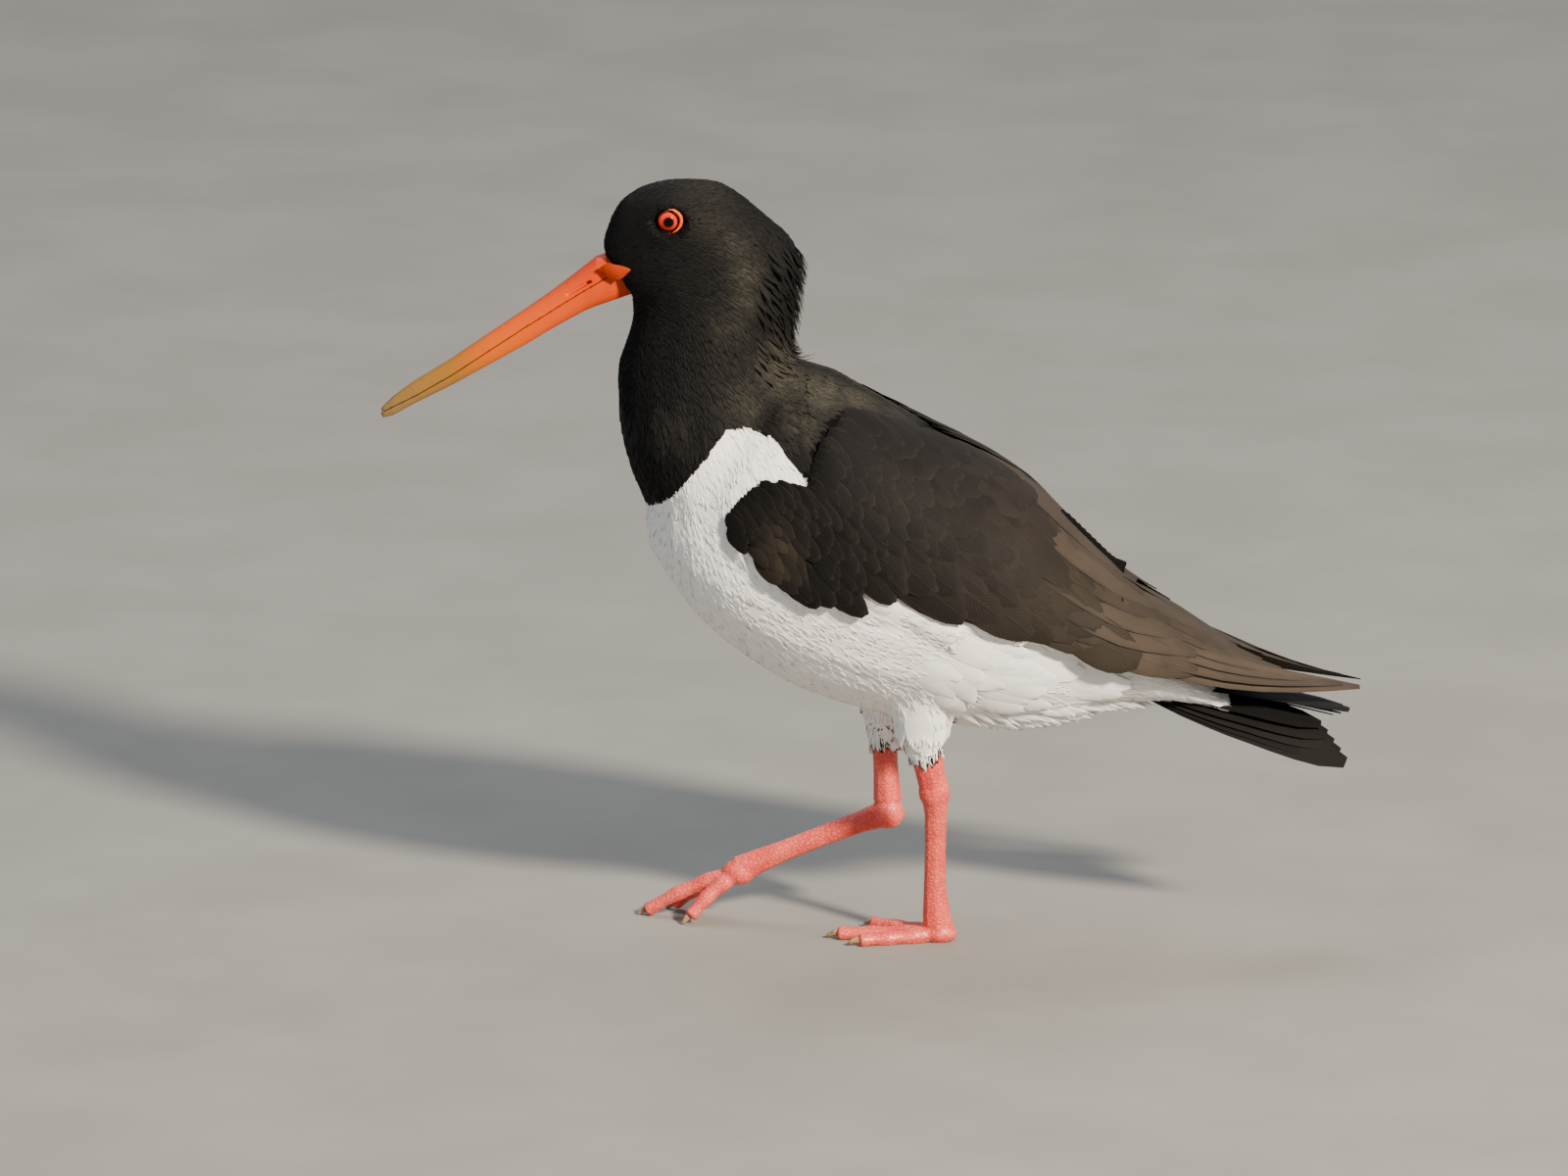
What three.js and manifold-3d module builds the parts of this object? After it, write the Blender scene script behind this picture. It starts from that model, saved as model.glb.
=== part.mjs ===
// A pied oystercatcher at life size, standing on its left foot and reaching forward with its right.
// Millimetres, +Z up. The bill points towards -X and the bird's left side towards -Y.
// The origin is on the floor, below the middle of the bounding box.
import * as THREE from "three";
import { mergeVertices } from "three/addons/utils/BufferGeometryUtils.js";
import Module from "manifold-3d";

const wasm = await Module();
wasm.setup();

// Driving dimensions

const BILL_TIP = -171;
const WING_TIP = 174;
const GAP = 0.3; // air left between two nodes that touch
const VANE = 0.8; // thickness of a feather's vane
const PROUD = [1.2, -0.4]; // how far a folded wing stands out of the outline, at its lower and upper border
const LEFT = -1;
const RIGHT = 1;

// Outline of the body: x, top, height of the widest line, bottom, half width.
const TORSO = [
  [-77.5, 163, 152, 141.5, 15],
  [-70, 183, 152, 129.5, 28],
  [-62, 195, 150, 118.5, 35],
  [-52, 203, 148, 108.5, 40],
  [-40, 208, 146, 99.5, 43.5],
  [-28, 210, 144, 92, 45.5],
  [-12, 205.5, 141, 85.5, 47],
  [5, 195.6, 137, 81, 47.5],
  [20, 187, 132, 78.6, 47],
  [40, 176.4, 127, 78, 44],
  [56, 162.4, 120, 77, 39],
  [70, 143.5, 113, 79, 33],
  [84, 125.5, 105, 83.6, 27.5],
  [100, 110, 98.5, 85.4, 22.5],
  [116, 99, 91.5, 84.3, 17.5],
  [129, 89.5, 85, 80.4, 12.5],
  [138, 83, 80.5, 77.8, 8],
];
const TORSO_FRONT = [-79.6, 0, 152.5];
const TORSO_REAR = [142.5, 0, 78.4];

// Outline of head and neck: height, front, x of the widest line, back, half width.
const HEAD_NECK = [
  [148, -66, -52, -34, 16],
  [158, -79.4, -54, -28, 30],
  [168, -84, -55, -24, 34.5],
  [180, -87.4, -56, -18, 35.5],
  [191, -89, -56, -16, 33],
  [203, -89.6, -56, -20, 28.5],
  [209, -89, -56, -25, 26],
  [215, -86.6, -56, -27.6, 24],
  [220.4, -84.6, -56, -26.4, 22.4],
  [226, -83, -56, -25.4, 21],
  [231.6, -83, -57, -24.6, 19.8],
  [237.2, -88, -58, -24, 18.8],
  [242, -91.4, -59, -23.4, 18],
  [247, -93.8, -60, -23.4, 17.2],
  [253.4, -93, -61, -26.8, 16.4],
  [261.6, -90.6, -62, -35.6, 14.9],
  [267.4, -86.6, -63, -42, 12.4],
  [271.4, -80.5, -64, -47.6, 8.6],
  [273.6, -74, -64.4, -51.6, 5.2],
];
const NECK_FOOT = [-50, 0, 142];
const CROWN = [-64.4, 0, 274.8];

// Outline over the folded wings behind the body's widest part: x, top, widest line, half width.
const WING_ROOF_REAR = [
  [56, 165.8, 121, 40.5],
  [74, 147, 112, 36],
  [91, 130.6, 106, 31],
  [108, 119.4, 101.6, 26],
  [125, 108, 97.6, 20.5],
  [142.5, 100, 94.4, 15],
  [156, 96.2, 92.2, 10.5],
  [WING_TIP, 92.4, 90.4, 5.5],
];
// The folded wing's border on that outline: x, lower and upper angle about the widest line.
const WING_BORDER = [
  [-50, 8, 18],
  [-46, 0, 30],
  [-38, -4, 46],
  [-28, -8, 61],
  [-14, -11, 75],
  [2, -10, 83],
  [24, -7, 85],
  [50, -4, 86],
  [74, -3, 86],
  [92, 2, 84],
  [101, 12, 74],
];
const WING_DEPTH = [
  [-50, 3.5],
  [-20, 5.5],
  [40, 5],
  [70, 3.2],
  [101, 1.8],
];

// The bill: x, culmen, mouth line, lower edge, half width.
const BILL = [
  [-81, 247.2, 245.2, 233.2, 5],
  [-90, 247.8, 240.6, 230.2, 6.5],
  [-95, 246, 237.5, 228.5, 6.3],
  [-99, 242.8, 235, 226.8, 5.8],
  [-106, 237.3, 230.5, 222.9, 5],
  [-113, 232.1, 225.8, 218.8, 4.3],
  [-120, 227.2, 221.3, 214.4, 3.8],
  [-133, 218.4, 212.5, 207.1, 3.2],
  [-146, 209.4, 203.7, 199.8, 2.7],
  [-159, 201.4, 196, 193.2, 2.2],
  [-166.5, 195.8, 192.2, 188.9, 1.7],
  [-170.1, 192.2, 190.2, 188, 1.2],
];
const NOSTRIL = { x: -101, z: 235.9, length: 10, width: 1, depth: 1.7, slope: 31 };

const EYE = { x: -69.8, y: 9.4, z: 261.7, radius: 6.3 };
const EYELID = { halfLength: 4.8, halfHeight: 4.1, tube: 0.68, y: 13.75, yaw: 8, tilt: 20 };

// Planes that part the body: a point in the midplane and the slope of the cut, in degrees.
const HEAD_CUT = { x: -56, z: 226, slope: -6 };
const BIB_CUT = { x: -80, z: 156, slope: 47.5 };
const BACK_CUT = { x: -28, z: 202, slope: -32.3 };

// Small tools

const rad = THREE.MathUtils.degToRad;
const mix = THREE.MathUtils.lerp;
const point = (x, y, z) => new THREE.Vector3(x, y, z);

// The values of a station table at a place, on a smooth curve that never overshoots a station.
function at(table, place) {
  const last = table.length - 1;
  const where = THREE.MathUtils.clamp(place, table[0][0], table[last][0]);
  let i = 0;
  while (i < last - 1 && where > table[i + 1][0]) i++;
  const slope = (k, c) => (table[k + 1][c] - table[k][c]) / (table[k + 1][0] - table[k][0]);
  const tangent = (k, c) => {
    if (k === 0 || k === last) return slope(Math.min(k, last - 1), c);
    const [before, after] = [slope(k - 1, c), slope(k, c)];
    return before * after <= 0 ? 0 : (2 * before * after) / (before + after);
  };
  const span = table[i + 1][0] - table[i][0];
  const t = (where - table[i][0]) / span;
  return table[i].slice(1).map((value, n) => {
    const c = n + 1;
    const rise = table[i + 1][c] - value;
    const [a, b] = [tangent(i, c) * span, tangent(i + 1, c) * span];
    return value + t * (a + t * (3 * rise - 2 * a - b + t * (a + b - 2 * rise)));
  });
}

// A closed solid from vertices and triangles, its faces turned outwards.
function solidOf(vertices, triangles) {
  const geometry = new THREE.BufferGeometry()
    .setAttribute("position", new THREE.Float32BufferAttribute(vertices.flatMap((v) => v.toArray()), 3))
    .setIndex(triangles);
  return fromGeometry(geometry);
}

function fromGeometry(geometry) {
  const bare = geometry.clone();
  bare.deleteAttribute("normal");
  bare.deleteAttribute("uv");
  const merged = mergeVertices(bare, 1e-4);
  const vertProperties = merged.attributes.position.array;
  const triVerts = new Uint32Array(merged.index.array);
  const corner = (i) => new THREE.Vector3().fromArray(vertProperties, triVerts[i] * 3);
  let volume = 0;
  for (let i = 0; i < triVerts.length; i += 3) volume += corner(i).dot(corner(i + 1).cross(corner(i + 2)));
  if (volume < 0) {
    for (let i = 0; i < triVerts.length; i += 3) triVerts.subarray(i, i + 2).reverse();
  }
  return new wasm.Manifold(new wasm.Mesh({ numProp: 3, vertProperties, triVerts }));
}

function toGeometry(solid) {
  const mesh = solid.getMesh();
  return new THREE.BufferGeometry()
    .setAttribute("position", new THREE.BufferAttribute(new Float32Array(mesh.vertProperties), 3))
    .setIndex(new THREE.BufferAttribute(new Uint32Array(mesh.triVerts), 1));
}

const largest = (solid) => solid.decompose().reduce((a, b) => (a.volume() > b.volume() ? a : b));
const joined = (solids) => wasm.Manifold.union(solids);

// Rings of equal size skinned into a closed solid, with a point beyond each end.
function skinned(rings, firstTip, lastTip) {
  const sides = rings[0].length;
  const vertices = [...rings.flat(), firstTip, lastTip];
  const triangles = [];
  for (let i = 0; i < rings.length - 1; i++) {
    for (let j = 0; j < sides; j++) {
      const [a, b] = [i * sides + j, i * sides + ((j + 1) % sides)];
      triangles.push(a, b, b + sides, a, b + sides, a + sides);
    }
  }
  const end = (rings.length - 1) * sides;
  for (let j = 0; j < sides; j++) {
    const next = (j + 1) % sides;
    triangles.push(rings.length * sides, next, j);
    triangles.push(rings.length * sides + 1, end + j, end + next);
  }
  return solidOf(vertices, triangles);
}

// The part of a solid on one side of a sloping cut, with half the gap taken off it.
function above(solid, cut, gap = GAP) {
  const normal = [-Math.sin(rad(cut.slope)), 0, Math.cos(rad(cut.slope))];
  return solid.trimByPlane(normal, cut.x * normal[0] + cut.z * normal[2] + gap / 2);
}

function below(solid, cut, gap = GAP) {
  const normal = [Math.sin(rad(cut.slope)), 0, -Math.cos(rad(cut.slope))];
  return solid.trimByPlane(normal, cut.x * normal[0] + cut.z * normal[2] + gap / 2);
}

// Body, head and neck

const BODY_SIDES = 22;
const HEAD_SIDES = 20;
const FULLNESS = 0.93; // below 1, an oval is a little squarer than an ellipse
const full = (wave) => Math.sign(wave) * Math.abs(wave) ** FULLNESS;

function torso(grow = 0) {
  const rings = TORSO.map(([x, top, middle, bottom, half]) =>
    Array.from({ length: BODY_SIDES }, (_, i) => {
      const turn = (i / BODY_SIDES) * 2 * Math.PI;
      const rise = full(Math.sin(turn));
      const reach = rise > 0 ? top - middle : middle - bottom;
      return point(x, (half + grow) * full(Math.cos(turn)), middle + (reach + grow) * rise);
    }),
  );
  const [front, rear] = [point(...TORSO_FRONT), point(...TORSO_REAR)];
  return skinned(rings, front.setX(front.x - grow), rear.setX(rear.x + grow));
}

function headAndNeck(grow = 0) {
  const rings = HEAD_NECK.map(([z, front, middle, back, half]) =>
    Array.from({ length: HEAD_SIDES }, (_, i) => {
      const turn = (i / HEAD_SIDES) * 2 * Math.PI;
      const run = full(Math.cos(turn));
      const reach = run > 0 ? back - middle : middle - front;
      return point(middle + (reach + grow) * run, (half + grow) * full(Math.sin(turn)), z);
    }),
  );
  const [foot, crown] = [point(...NECK_FOOT), point(...CROWN)];
  return skinned(rings, foot.setZ(foot.z - grow), crown.setZ(crown.z + grow));
}

// Feathers

// A closed vane: place(along, across, out) gives a point, with across from -1 to 1 and out from its mid-surface.
const VANE_STEPS = [0, 0.5, 0.85, 1];
function vane(place, steps = VANE_STEPS, thickness = VANE) {
  const columns = [-1, 0, 1];
  const vertices = [];
  for (const out of [thickness / 2, -thickness / 2]) {
    for (const along of steps) for (const across of columns) vertices.push(place(along, across, out));
  }
  const rows = steps.length;
  const index = (face, i, j) => (face * rows + i) * columns.length + j;
  const triangles = [];
  const quad = (a, b, c, d) => triangles.push(a, b, c, a, c, d);
  for (let i = 0; i < rows - 1; i++) {
    for (let j = 0; j < 2; j++) {
      quad(index(0, i, j), index(0, i, j + 1), index(0, i + 1, j + 1), index(0, i + 1, j));
      const [a, b, c, d] = [index(1, i, j), index(1, i + 1, j), index(1, i + 1, j + 1), index(1, i, j + 1)];
      triangles.push(a, b, c, a, c, d);
    }
    quad(index(0, i, 0), index(0, i + 1, 0), index(1, i + 1, 0), index(1, i, 0));
    quad(index(0, i, 2), index(1, i, 2), index(1, i + 1, 2), index(0, i + 1, 2));
  }
  for (let j = 0; j < 2; j++) {
    quad(index(0, 0, j), index(1, 0, j), index(1, 0, j + 1), index(0, 0, j + 1));
    quad(index(0, rows - 1, j), index(0, rows - 1, j + 1), index(1, rows - 1, j + 1), index(1, rows - 1, j));
  }
  return solidOf(vertices, triangles);
}

// Half width of a vane along its length, as a share of its widest: narrow at the root, rounded at the tip.
const VANE_SHAPE = [
  [0, 0.7],
  [0.32, 1],
  [0.62, 0.98],
  [0.86, 0.72],
  [1, 0.22],
];

// Folded wings

const WING_ROOF = [
  ...TORSO.filter(([x]) => x > -60 && x < 50).map(([x, top, middle, , half]) => [x, top, middle, half]),
  ...WING_ROOF_REAR,
];

// A point on the folded wing's outer surface, at an angle in degrees about the widest line.
function onWing(side, x, angle, out) {
  const [top, middle, half] = at(WING_ROOF, x);
  const bottom = at(TORSO, x)[2];
  const rise = full(Math.sin(rad(angle)));
  const proud = mix(...PROUD, THREE.MathUtils.smoothstep(angle, 20, 75)) + out;
  const reach = (rise > 0 ? top - middle : Math.max(middle - bottom, 12)) + proud;
  return point(x, side * (half + proud) * full(Math.cos(rad(angle))), middle + reach * rise);
}

// The wing's thick front part. A cutter, which makes room for it in the body, is larger by the gap and has no roof.
const WING_XS = [-50, -46, -40, -32, -22, -10, 4, 20, 36, 52, 68, 84, 101];
const WING_TURNS = 6;
function wingCore(side, cutter = false) {
  const grow = cutter ? GAP : 0;
  const faces = [cutter ? 12 : 0, null].map((out) =>
    WING_XS.map((x) => {
      const [low, high] = at(WING_BORDER, x);
      const deep = -at(WING_DEPTH, x)[0] - PROUD[0] - grow;
      const widen = THREE.MathUtils.radToDeg(grow / at(WING_ROOF, x)[2]);
      const isEnd = x === WING_XS[0] ? -grow : x === WING_XS.at(-1) ? grow : 0;
      return Array.from({ length: WING_TURNS + 1 }, (_, j) =>
        onWing(side, x + isEnd, mix(low - widen, high + widen, j / WING_TURNS), out ?? deep),
      );
    }),
  );
  const rings = faces[0].map((row, i) => [...row, ...faces[1][i].toReversed()]);
  const centre = (ring) => ring.reduce((sum, p) => sum.add(p), point(0, 0, 0)).divideScalar(ring.length);
  return skinned(rings, centre(rings[0]), centre(rings.at(-1)));
}

// One feather on the wing, from root to tip, each given as [x, angle].
function wingFeather(side, root, tip, halfWidth, lift, steps = VANE_STEPS) {
  return vane((along, across, out) => {
    const x = mix(root[0], tip[0], along);
    const angle = mix(root[1], tip[1], along);
    const step = onWing(side, x, angle + 1, 0).distanceTo(onWing(side, x, angle - 1, 0)) / 2;
    const run = new THREE.Vector2(tip[0] - root[0], (tip[1] - root[1]) * step).normalize();
    const offset = across * halfWidth * at(VANE_SHAPE, along)[0];
    const crown = across === 0 ? 0.35 : 0;
    const height = mix(lift[0], lift[1], Math.sqrt(along)) + crown + out;
    return onWing(side, x - run.y * offset, angle + (run.x * offset) / step, height);
  }, steps);
}

const LONG_STEPS = [0, 0.35, 0.7, 0.92, 1];
// The feather groups, lowest tier first. Roots and tips run evenly from the first to the last, as [x, angle].
const WING_TIERS = [
  // primaries: the longest lie lowest and make the wing's tip
  { count: 5, root: [[72, 4], [84, 68]], tip: [[173.6, 30], [130, 82]], half: [6.2, 7.6], sink: -1.6,
    rise: [0.4, 2], steps: LONG_STEPS },
  // secondaries, which show as a row along the lower border
  { count: 4, root: [[0, 8], [66, 12]], tip: [[32, -11], [106, 5]], half: [7.4, 7.6], sink: -1.4,
    rise: [0.7, 1.2] },
  // greater coverts
  { count: 5, root: [[-34, 13], [46, 27]], tip: [[-14, -9], [74, 7]], half: [8, 9], sink: -1.4,
    rise: [1.3, 1.7] },
  // median coverts
  { count: 4, root: [[-40, 27], [32, 44]], tip: [[-22, 8], [58, 22]], half: [8.4, 9.4], sink: -1.4,
    rise: [1.7, 2] },
  // tertials, long and broad, over the inner wing
  { count: 4, root: [[42, 28], [40, 80]], tip: [[118, 30], [104, 87]], half: [8.8, 8.8], sink: -1.5,
    rise: [2.2, 2.8], steps: LONG_STEPS },
  // scapulars, in two rows over the shoulder
  { count: 3, root: [[-28, 34], [26, 62]], tip: [[-4, 18], [64, 46]], half: [10, 10], sink: -1.4,
    rise: [2.2, 2.5] },
  { count: 2, root: [[-20, 66], [30, 76]], tip: [[14, 52], [72, 78]], half: [11, 10], sink: -1.4,
    rise: [2.6, 3] },
];

function wing(side) {
  const random = seeded(side === LEFT ? 11 : 12);
  const feathers = WING_TIERS.flatMap(({ count, root, tip, half, sink, rise, steps }) =>
    Array.from({ length: count }, (_, i) => {
      const share = i / (count - 1);
      const [x, angle] = [0, 1].map((n) => mix(root[0][n], root[1][n], share));
      const [tipX, tipAngle] = [0, 1].map((n) => mix(tip[0][n], tip[1][n], share));
      const reach = tipX > 165 ? 0 : random() * 3 - 1.5;
      const lift = [sink, mix(rise[0], rise[1], share)];
      return wingFeather(side, [x, angle], [tipX + reach, tipAngle], mix(half[0], half[1], share), lift, steps);
    }),
  );
  const midplane = side * (GAP / 2 + 0.1);
  return joined([wingCore(side), ...feathers]).trimByPlane([0, side, 0], side * midplane);
}

// An even random number from 0 to 1, the same in each run.
function seeded(seed) {
  let state = seed;
  return () => {
    state = (state * 16807) % 2147483647;
    return state / 2147483647;
  };
}

// Tail

// Tips of the tail feathers on each side, as [x, distance from the midplane, z]: the middle one, then
// the first and last of the rest, which are spread and lowered on the left and closed on the right.
const TAIL = {
  root: [104, 3.5, 94.5],
  // the wedge of flesh and short feathers that the tail grows from: x, y, z, half depth, half width
  base: [[112, 0, 93, 4, 9], [132, 0, 88.5, 4, 9], [144, -0.5, 84.5, 3, 8.4], [153, -1, 82, 1.2, 7]],
  rest: 4,
  half: 8.4,
  lean: [0.45, 0.2],
  lift: [3, -1], // how much higher the outer roots are than the middle one, left and right
  left: { middle: [170, 3, 83.5], first: [157, 8, 78.5], last: [169.5, 19, 66] },
  right: { middle: [169, 3, 83], first: [167.5, 5.5, 82], last: [160, 13, 78] },
};

function tailFeather(root, tip, side, share, sink) {
  const run = tip.clone().sub(root).normalize();
  const lean = TAIL.lean[side === LEFT ? 0 : 1];
  const across = point(0, 1, side * -lean * share).addScaledVector(run, -run.y).normalize();
  const up = run.clone().cross(across);
  return vane((along, sideways, out) => {
    const offset = TAIL.half * sideways * at(VANE_SHAPE, along)[0];
    const height = out - sink + (sideways === 0 ? 0.3 : 0) + 1.5 * Math.sin(Math.PI * along);
    return root.clone().lerp(tip, along).addScaledVector(across, offset).addScaledVector(up, height);
  }, LONG_STEPS);
}

function tail() {
  const onSide = (side, [x, y, z]) => point(x, side * y, z);
  const feathers = [];
  for (const [side, { middle, first, last }] of [[LEFT, TAIL.left], [RIGHT, TAIL.right]]) {
    for (let i = 0; i <= TAIL.rest; i++) {
      const share = i / TAIL.rest;
      const [x, y, z] = TAIL.root;
      const root = onSide(side, [x, y * (0.3 + share), z + share * TAIL.lift[side === LEFT ? 0 : 1]]);
      const rest = (i - 1) / (TAIL.rest - 1);
      const tip = i === 0 ? onSide(side, middle) : onSide(side, first).lerp(onSide(side, last), rest);
      feathers.push(tailFeather(root, tip, side, share, 0.4 * i + (side === LEFT ? 0 : 0.2)));
    }
  }
  return joined([limb(TAIL.base), ...feathers]);
}

// Bill

const BILL_SIDES = 12;
// One mandible: upper is the part over the mouth line, and lower the part under it.
function mandible(upper, grow = 0) {
  const arch = (x, line, edge, half) =>
    Array.from({ length: BILL_SIDES + 1 }, (_, i) => {
      const turn = (i / BILL_SIDES) * Math.PI;
      const side = Math.cos(turn);
      const width = (half + grow) * Math.sign(side) * Math.abs(side) ** 0.7;
      return point(x, width, mix(line, edge, Math.sin(turn) ** 0.9));
    });
  const rings = BILL.map(([x, culmen, line, lowest, half]) => {
    const start = grow ? line : line + (upper ? GAP / 2 : -GAP / 2);
    return arch(x, start - (upper ? grow : -grow), upper ? culmen + grow : lowest - grow, half);
  });
  const [first, last] = [BILL[0], BILL.at(-1)];
  const nearMouth = upper ? 1 : -1;
  const tip = point(BILL_TIP, 0, last[2] + nearMouth * 0.4);
  return skinned(rings, point(first[0] + 0.5, 0, first[2] + nearMouth), tip);
}

function nostril(side) {
  const slot = new THREE.BoxGeometry(NOSTRIL.length, NOSTRIL.depth * 2, NOSTRIL.width);
  slot.rotateY(rad(-NOSTRIL.slope));
  const [, , , half] = at([...BILL].reverse(), NOSTRIL.x);
  slot.translate(NOSTRIL.x, side * half, NOSTRIL.z);
  return fromGeometry(slot);
}

// Eyes

function eyeball(side, grow = 0) {
  const ball = new THREE.SphereGeometry(EYE.radius + grow, 14, 10);
  return fromGeometry(ball.rotateX(Math.PI / 2).translate(EYE.x, side * EYE.y, EYE.z));
}

function eyelid(side, grow = 0) {
  const ring = new THREE.TorusGeometry(EYELID.halfLength, EYELID.tube + grow, 5, 16);
  ring.scale(1, EYELID.halfHeight / EYELID.halfLength, 1).rotateZ(rad(EYELID.tilt));
  ring.rotateX(Math.PI / 2).rotateZ(rad(side * EYELID.yaw));
  return fromGeometry(ring.translate(EYE.x, side * EYELID.y, EYE.z));
}

// Legs

const LEG_SIDES = 8;
const CLAW_SIDES = 6;
// A closed tube of oval rings. Each row is [x, y, z, half depth, half width].
function limb(rows, grow = 0, sides = LEG_SIDES) {
  const centres = rows.map(([x, y, z]) => point(x, y, z));
  const run = (i) => centres[Math.min(i + 1, rows.length - 1)].clone().sub(centres[Math.max(i - 1, 0)]).normalize();
  const rings = rows.map(([, , , depth, width], i) => {
    const way = run(i);
    const across = point(0, 1, 0).addScaledVector(way, -way.y).normalize();
    const fore = way.clone().cross(across);
    return Array.from({ length: sides }, (_, k) => {
      const turn = (k / sides) * 2 * Math.PI;
      return centres[i]
        .clone()
        .addScaledVector(fore, (depth + grow) * Math.cos(turn))
        .addScaledVector(across, (width + grow) * Math.sin(turn));
    });
  });
  const cap = (i, sign) => centres[i].clone().addScaledVector(run(i), sign * (rows[i][3] * 0.4 + grow));
  return skinned(rings, cap(0, -1), cap(rows.length - 1, 1));
}

function ball([x, y, z], [rx, ry, rz], grow = 0) {
  const sphere = new THREE.SphereGeometry(1, 12, 8).rotateX(Math.PI / 2);
  return fromGeometry(sphere.scale(rx + grow, ry + grow, rz + grow).translate(x, y, z));
}

const LEGS = {
  left: {
    thigh: [[19, -22, 100, 15, 12], [19, -21, 88, 12.5, 10.5], [19, -19.8, 79, 9, 8], [19.6, -19, 71, 6.4, 5.8]],
    shank: [[19.2, -19.6, 82, 5, 4.6], [20, -18.8, 73, 5.4, 4.6], [22, -17.4, 65, 5.2, 4.3], [23.4, -16, 58, 5, 4.2]],
    ankle: { centre: [23.6, -15.8, 56.5], size: [5.5, 4.7, 6.4] },
    tarsus: [[23.8, -15.8, 56, 5, 4.2], [24.2, -14.6, 48, 3.9, 3.3], [24, -12.4, 34, 3.6, 2.8],
      [24, -10.2, 19, 3.9, 3], [24.6, -8.8, 9, 4.9, 3.7], [25.6, -8, 3, 5.6, 4.4]],
    pad: { centre: [25.8, -8, 2.6], size: [6, 5.2, 3.6] },
    footCut: { x: 24.6, z: 8.5, slope: 0 },
    toes: {
      inner: { tip: [-1, 10.5, 1.4], rise: 0.6 },
      middle: { tip: [-14, -6, 1.4], rise: 0.8 },
      outer: { tip: [-6.4, -16.5, 1.4], rise: 0.6 },
    },
  },
  right: {
    thigh: [[10, 22, 98, 15, 12], [8, 21, 86, 12, 10.5], [6.4, 19.6, 75, 8.4, 7.6], [6, 18.6, 65, 5.9, 5.5]],
    shank: [[6.2, 19, 76, 4.4, 4.1], [6.3, 18.2, 66, 4.4, 4], [6.8, 17.4, 55, 4.3, 3.8], [7.4, 16.4, 45, 4.9, 4.2]],
    ankle: { centre: [7.6, 16, 40.4], size: [5.7, 4.7, 5.7] },
    tarsus: [[7, 16, 40.2, 5, 4.2], [-2, 16.7, 36.8, 3.9, 3.2], [-15, 18, 31.6, 3.6, 2.9],
      [-29, 19.4, 25.6, 3.7, 2.9], [-38, 20.4, 21.6, 4.3, 3.4], [-45, 21, 18.2, 5, 4.2]],
    pad: { centre: [-45.5, 21, 17.2], size: [6, 5.2, 4.4] },
    footCut: { x: -38.5, z: 21.2, slope: -65 },
    toes: {
      inner: { tip: [-65.4, 13, 0.3], rise: -0.7 },
      middle: { tip: [-81.4, 27, 0.3], rise: -0.7 },
      outer: { tip: [-71, 35, 0.3], rise: -0.5 },
    },
  },
};
const CLAW_LENGTH = 4.2;
const TOE_STEPS = 6;
const PHALANGES = 3;

// A toe from the pad to the root of its claw, swollen at each joint, with its claw's place.
function toePath(leg, name) {
  const start = point(...leg.pad.centre);
  const { tip, rise } = leg.toes[name];
  const end = point(...tip);
  const share = 1 - CLAW_LENGTH / start.distanceTo(end);
  const isRaised = start.z > 10;
  return (t) => {
    const along = t * share;
    const spot = start.clone().lerp(end, along);
    spot.z = mix(start.z, end.z + rise, isRaised ? along : 1 - (1 - along) ** 3);
    spot.z += isRaised ? 1.8 * Math.sin(Math.PI * along) : 0;
    return spot;
  };
}

function toe(leg, name, grow = 0) {
  const path = toePath(leg, name);
  const rows = Array.from({ length: TOE_STEPS + 1 }, (_, i) => {
    const t = i / TOE_STEPS;
    const swell = 1 + 0.1 * Math.cos(2 * Math.PI * PHALANGES * t);
    return [...path(t).toArray(), mix(3.1, 2.2, t) * swell, mix(3.7, 2.5, t) * swell];
  });
  return limb(rows, grow);
}

function claw(leg, name) {
  const path = toePath(leg, name);
  const [root, tip] = [path(1), point(...leg.toes[name].tip)];
  const way = root.clone().sub(path(0.9)).normalize();
  const start = root.clone().addScaledVector(way, -0.6);
  const rows = [0, 0.5, 1].map((t) => [
    ...start.clone().lerp(tip, t).add(point(0, 0, 0.5 * Math.sin(Math.PI * t))).toArray(),
    mix(1.7, 0.7, t),
    mix(1.5, 0.6, t),
  ]);
  return limb(rows, 0, CLAW_SIDES);
}

const FLOOR = { x: 0, z: 0, slope: 0 };
const onFloor = (solid) => above(solid, FLOOR, 0);

// The nodes

const nodes = new Map();
const body = joined([torso(), headAndNeck()]);
const bodyGrown = joined([torso(GAP), headAndNeck(GAP)]);

function addHead() {
  const sockets = [LEFT, RIGHT].flatMap((side) => [eyeball(side, GAP), eyelid(side, GAP)]);
  const billRoot = [mandible(true, GAP), mandible(false, GAP)];
  nodes.set("head", above(body, HEAD_CUT).subtract(joined([...sockets, ...billRoot])));
  nodes.set("bill_upper", mandible(true).subtract(joined([nostril(LEFT), nostril(RIGHT)])));
  nodes.set("bill_lower", mandible(false));
  for (const [name, side] of [["left", LEFT], ["right", RIGHT]]) {
    nodes.set(`eye_${name}`, eyeball(side));
    nodes.set(`eyelid_${name}`, eyelid(side).subtract(eyeball(side, GAP)));
  }
}

function addBody() {
  const underHead = below(body, HEAD_CUT);
  nodes.set("neck", above(underHead, BIB_CUT));
  const rooms = joined([wingCore(LEFT, true), wingCore(RIGHT, true)]);
  const trunk = largest(below(underHead, BIB_CUT).subtract(rooms));
  nodes.set("mantle", above(trunk, BACK_CUT));
  nodes.set("torso", below(trunk, BACK_CUT));
  const underWings = bodyGrown.subtract(rooms);
  nodes.set("wing_left", wing(LEFT).subtract(underWings));
  nodes.set("wing_right", wing(RIGHT).subtract(underWings));
  nodes.set("tail", tail().subtract(bodyGrown));
}

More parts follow.
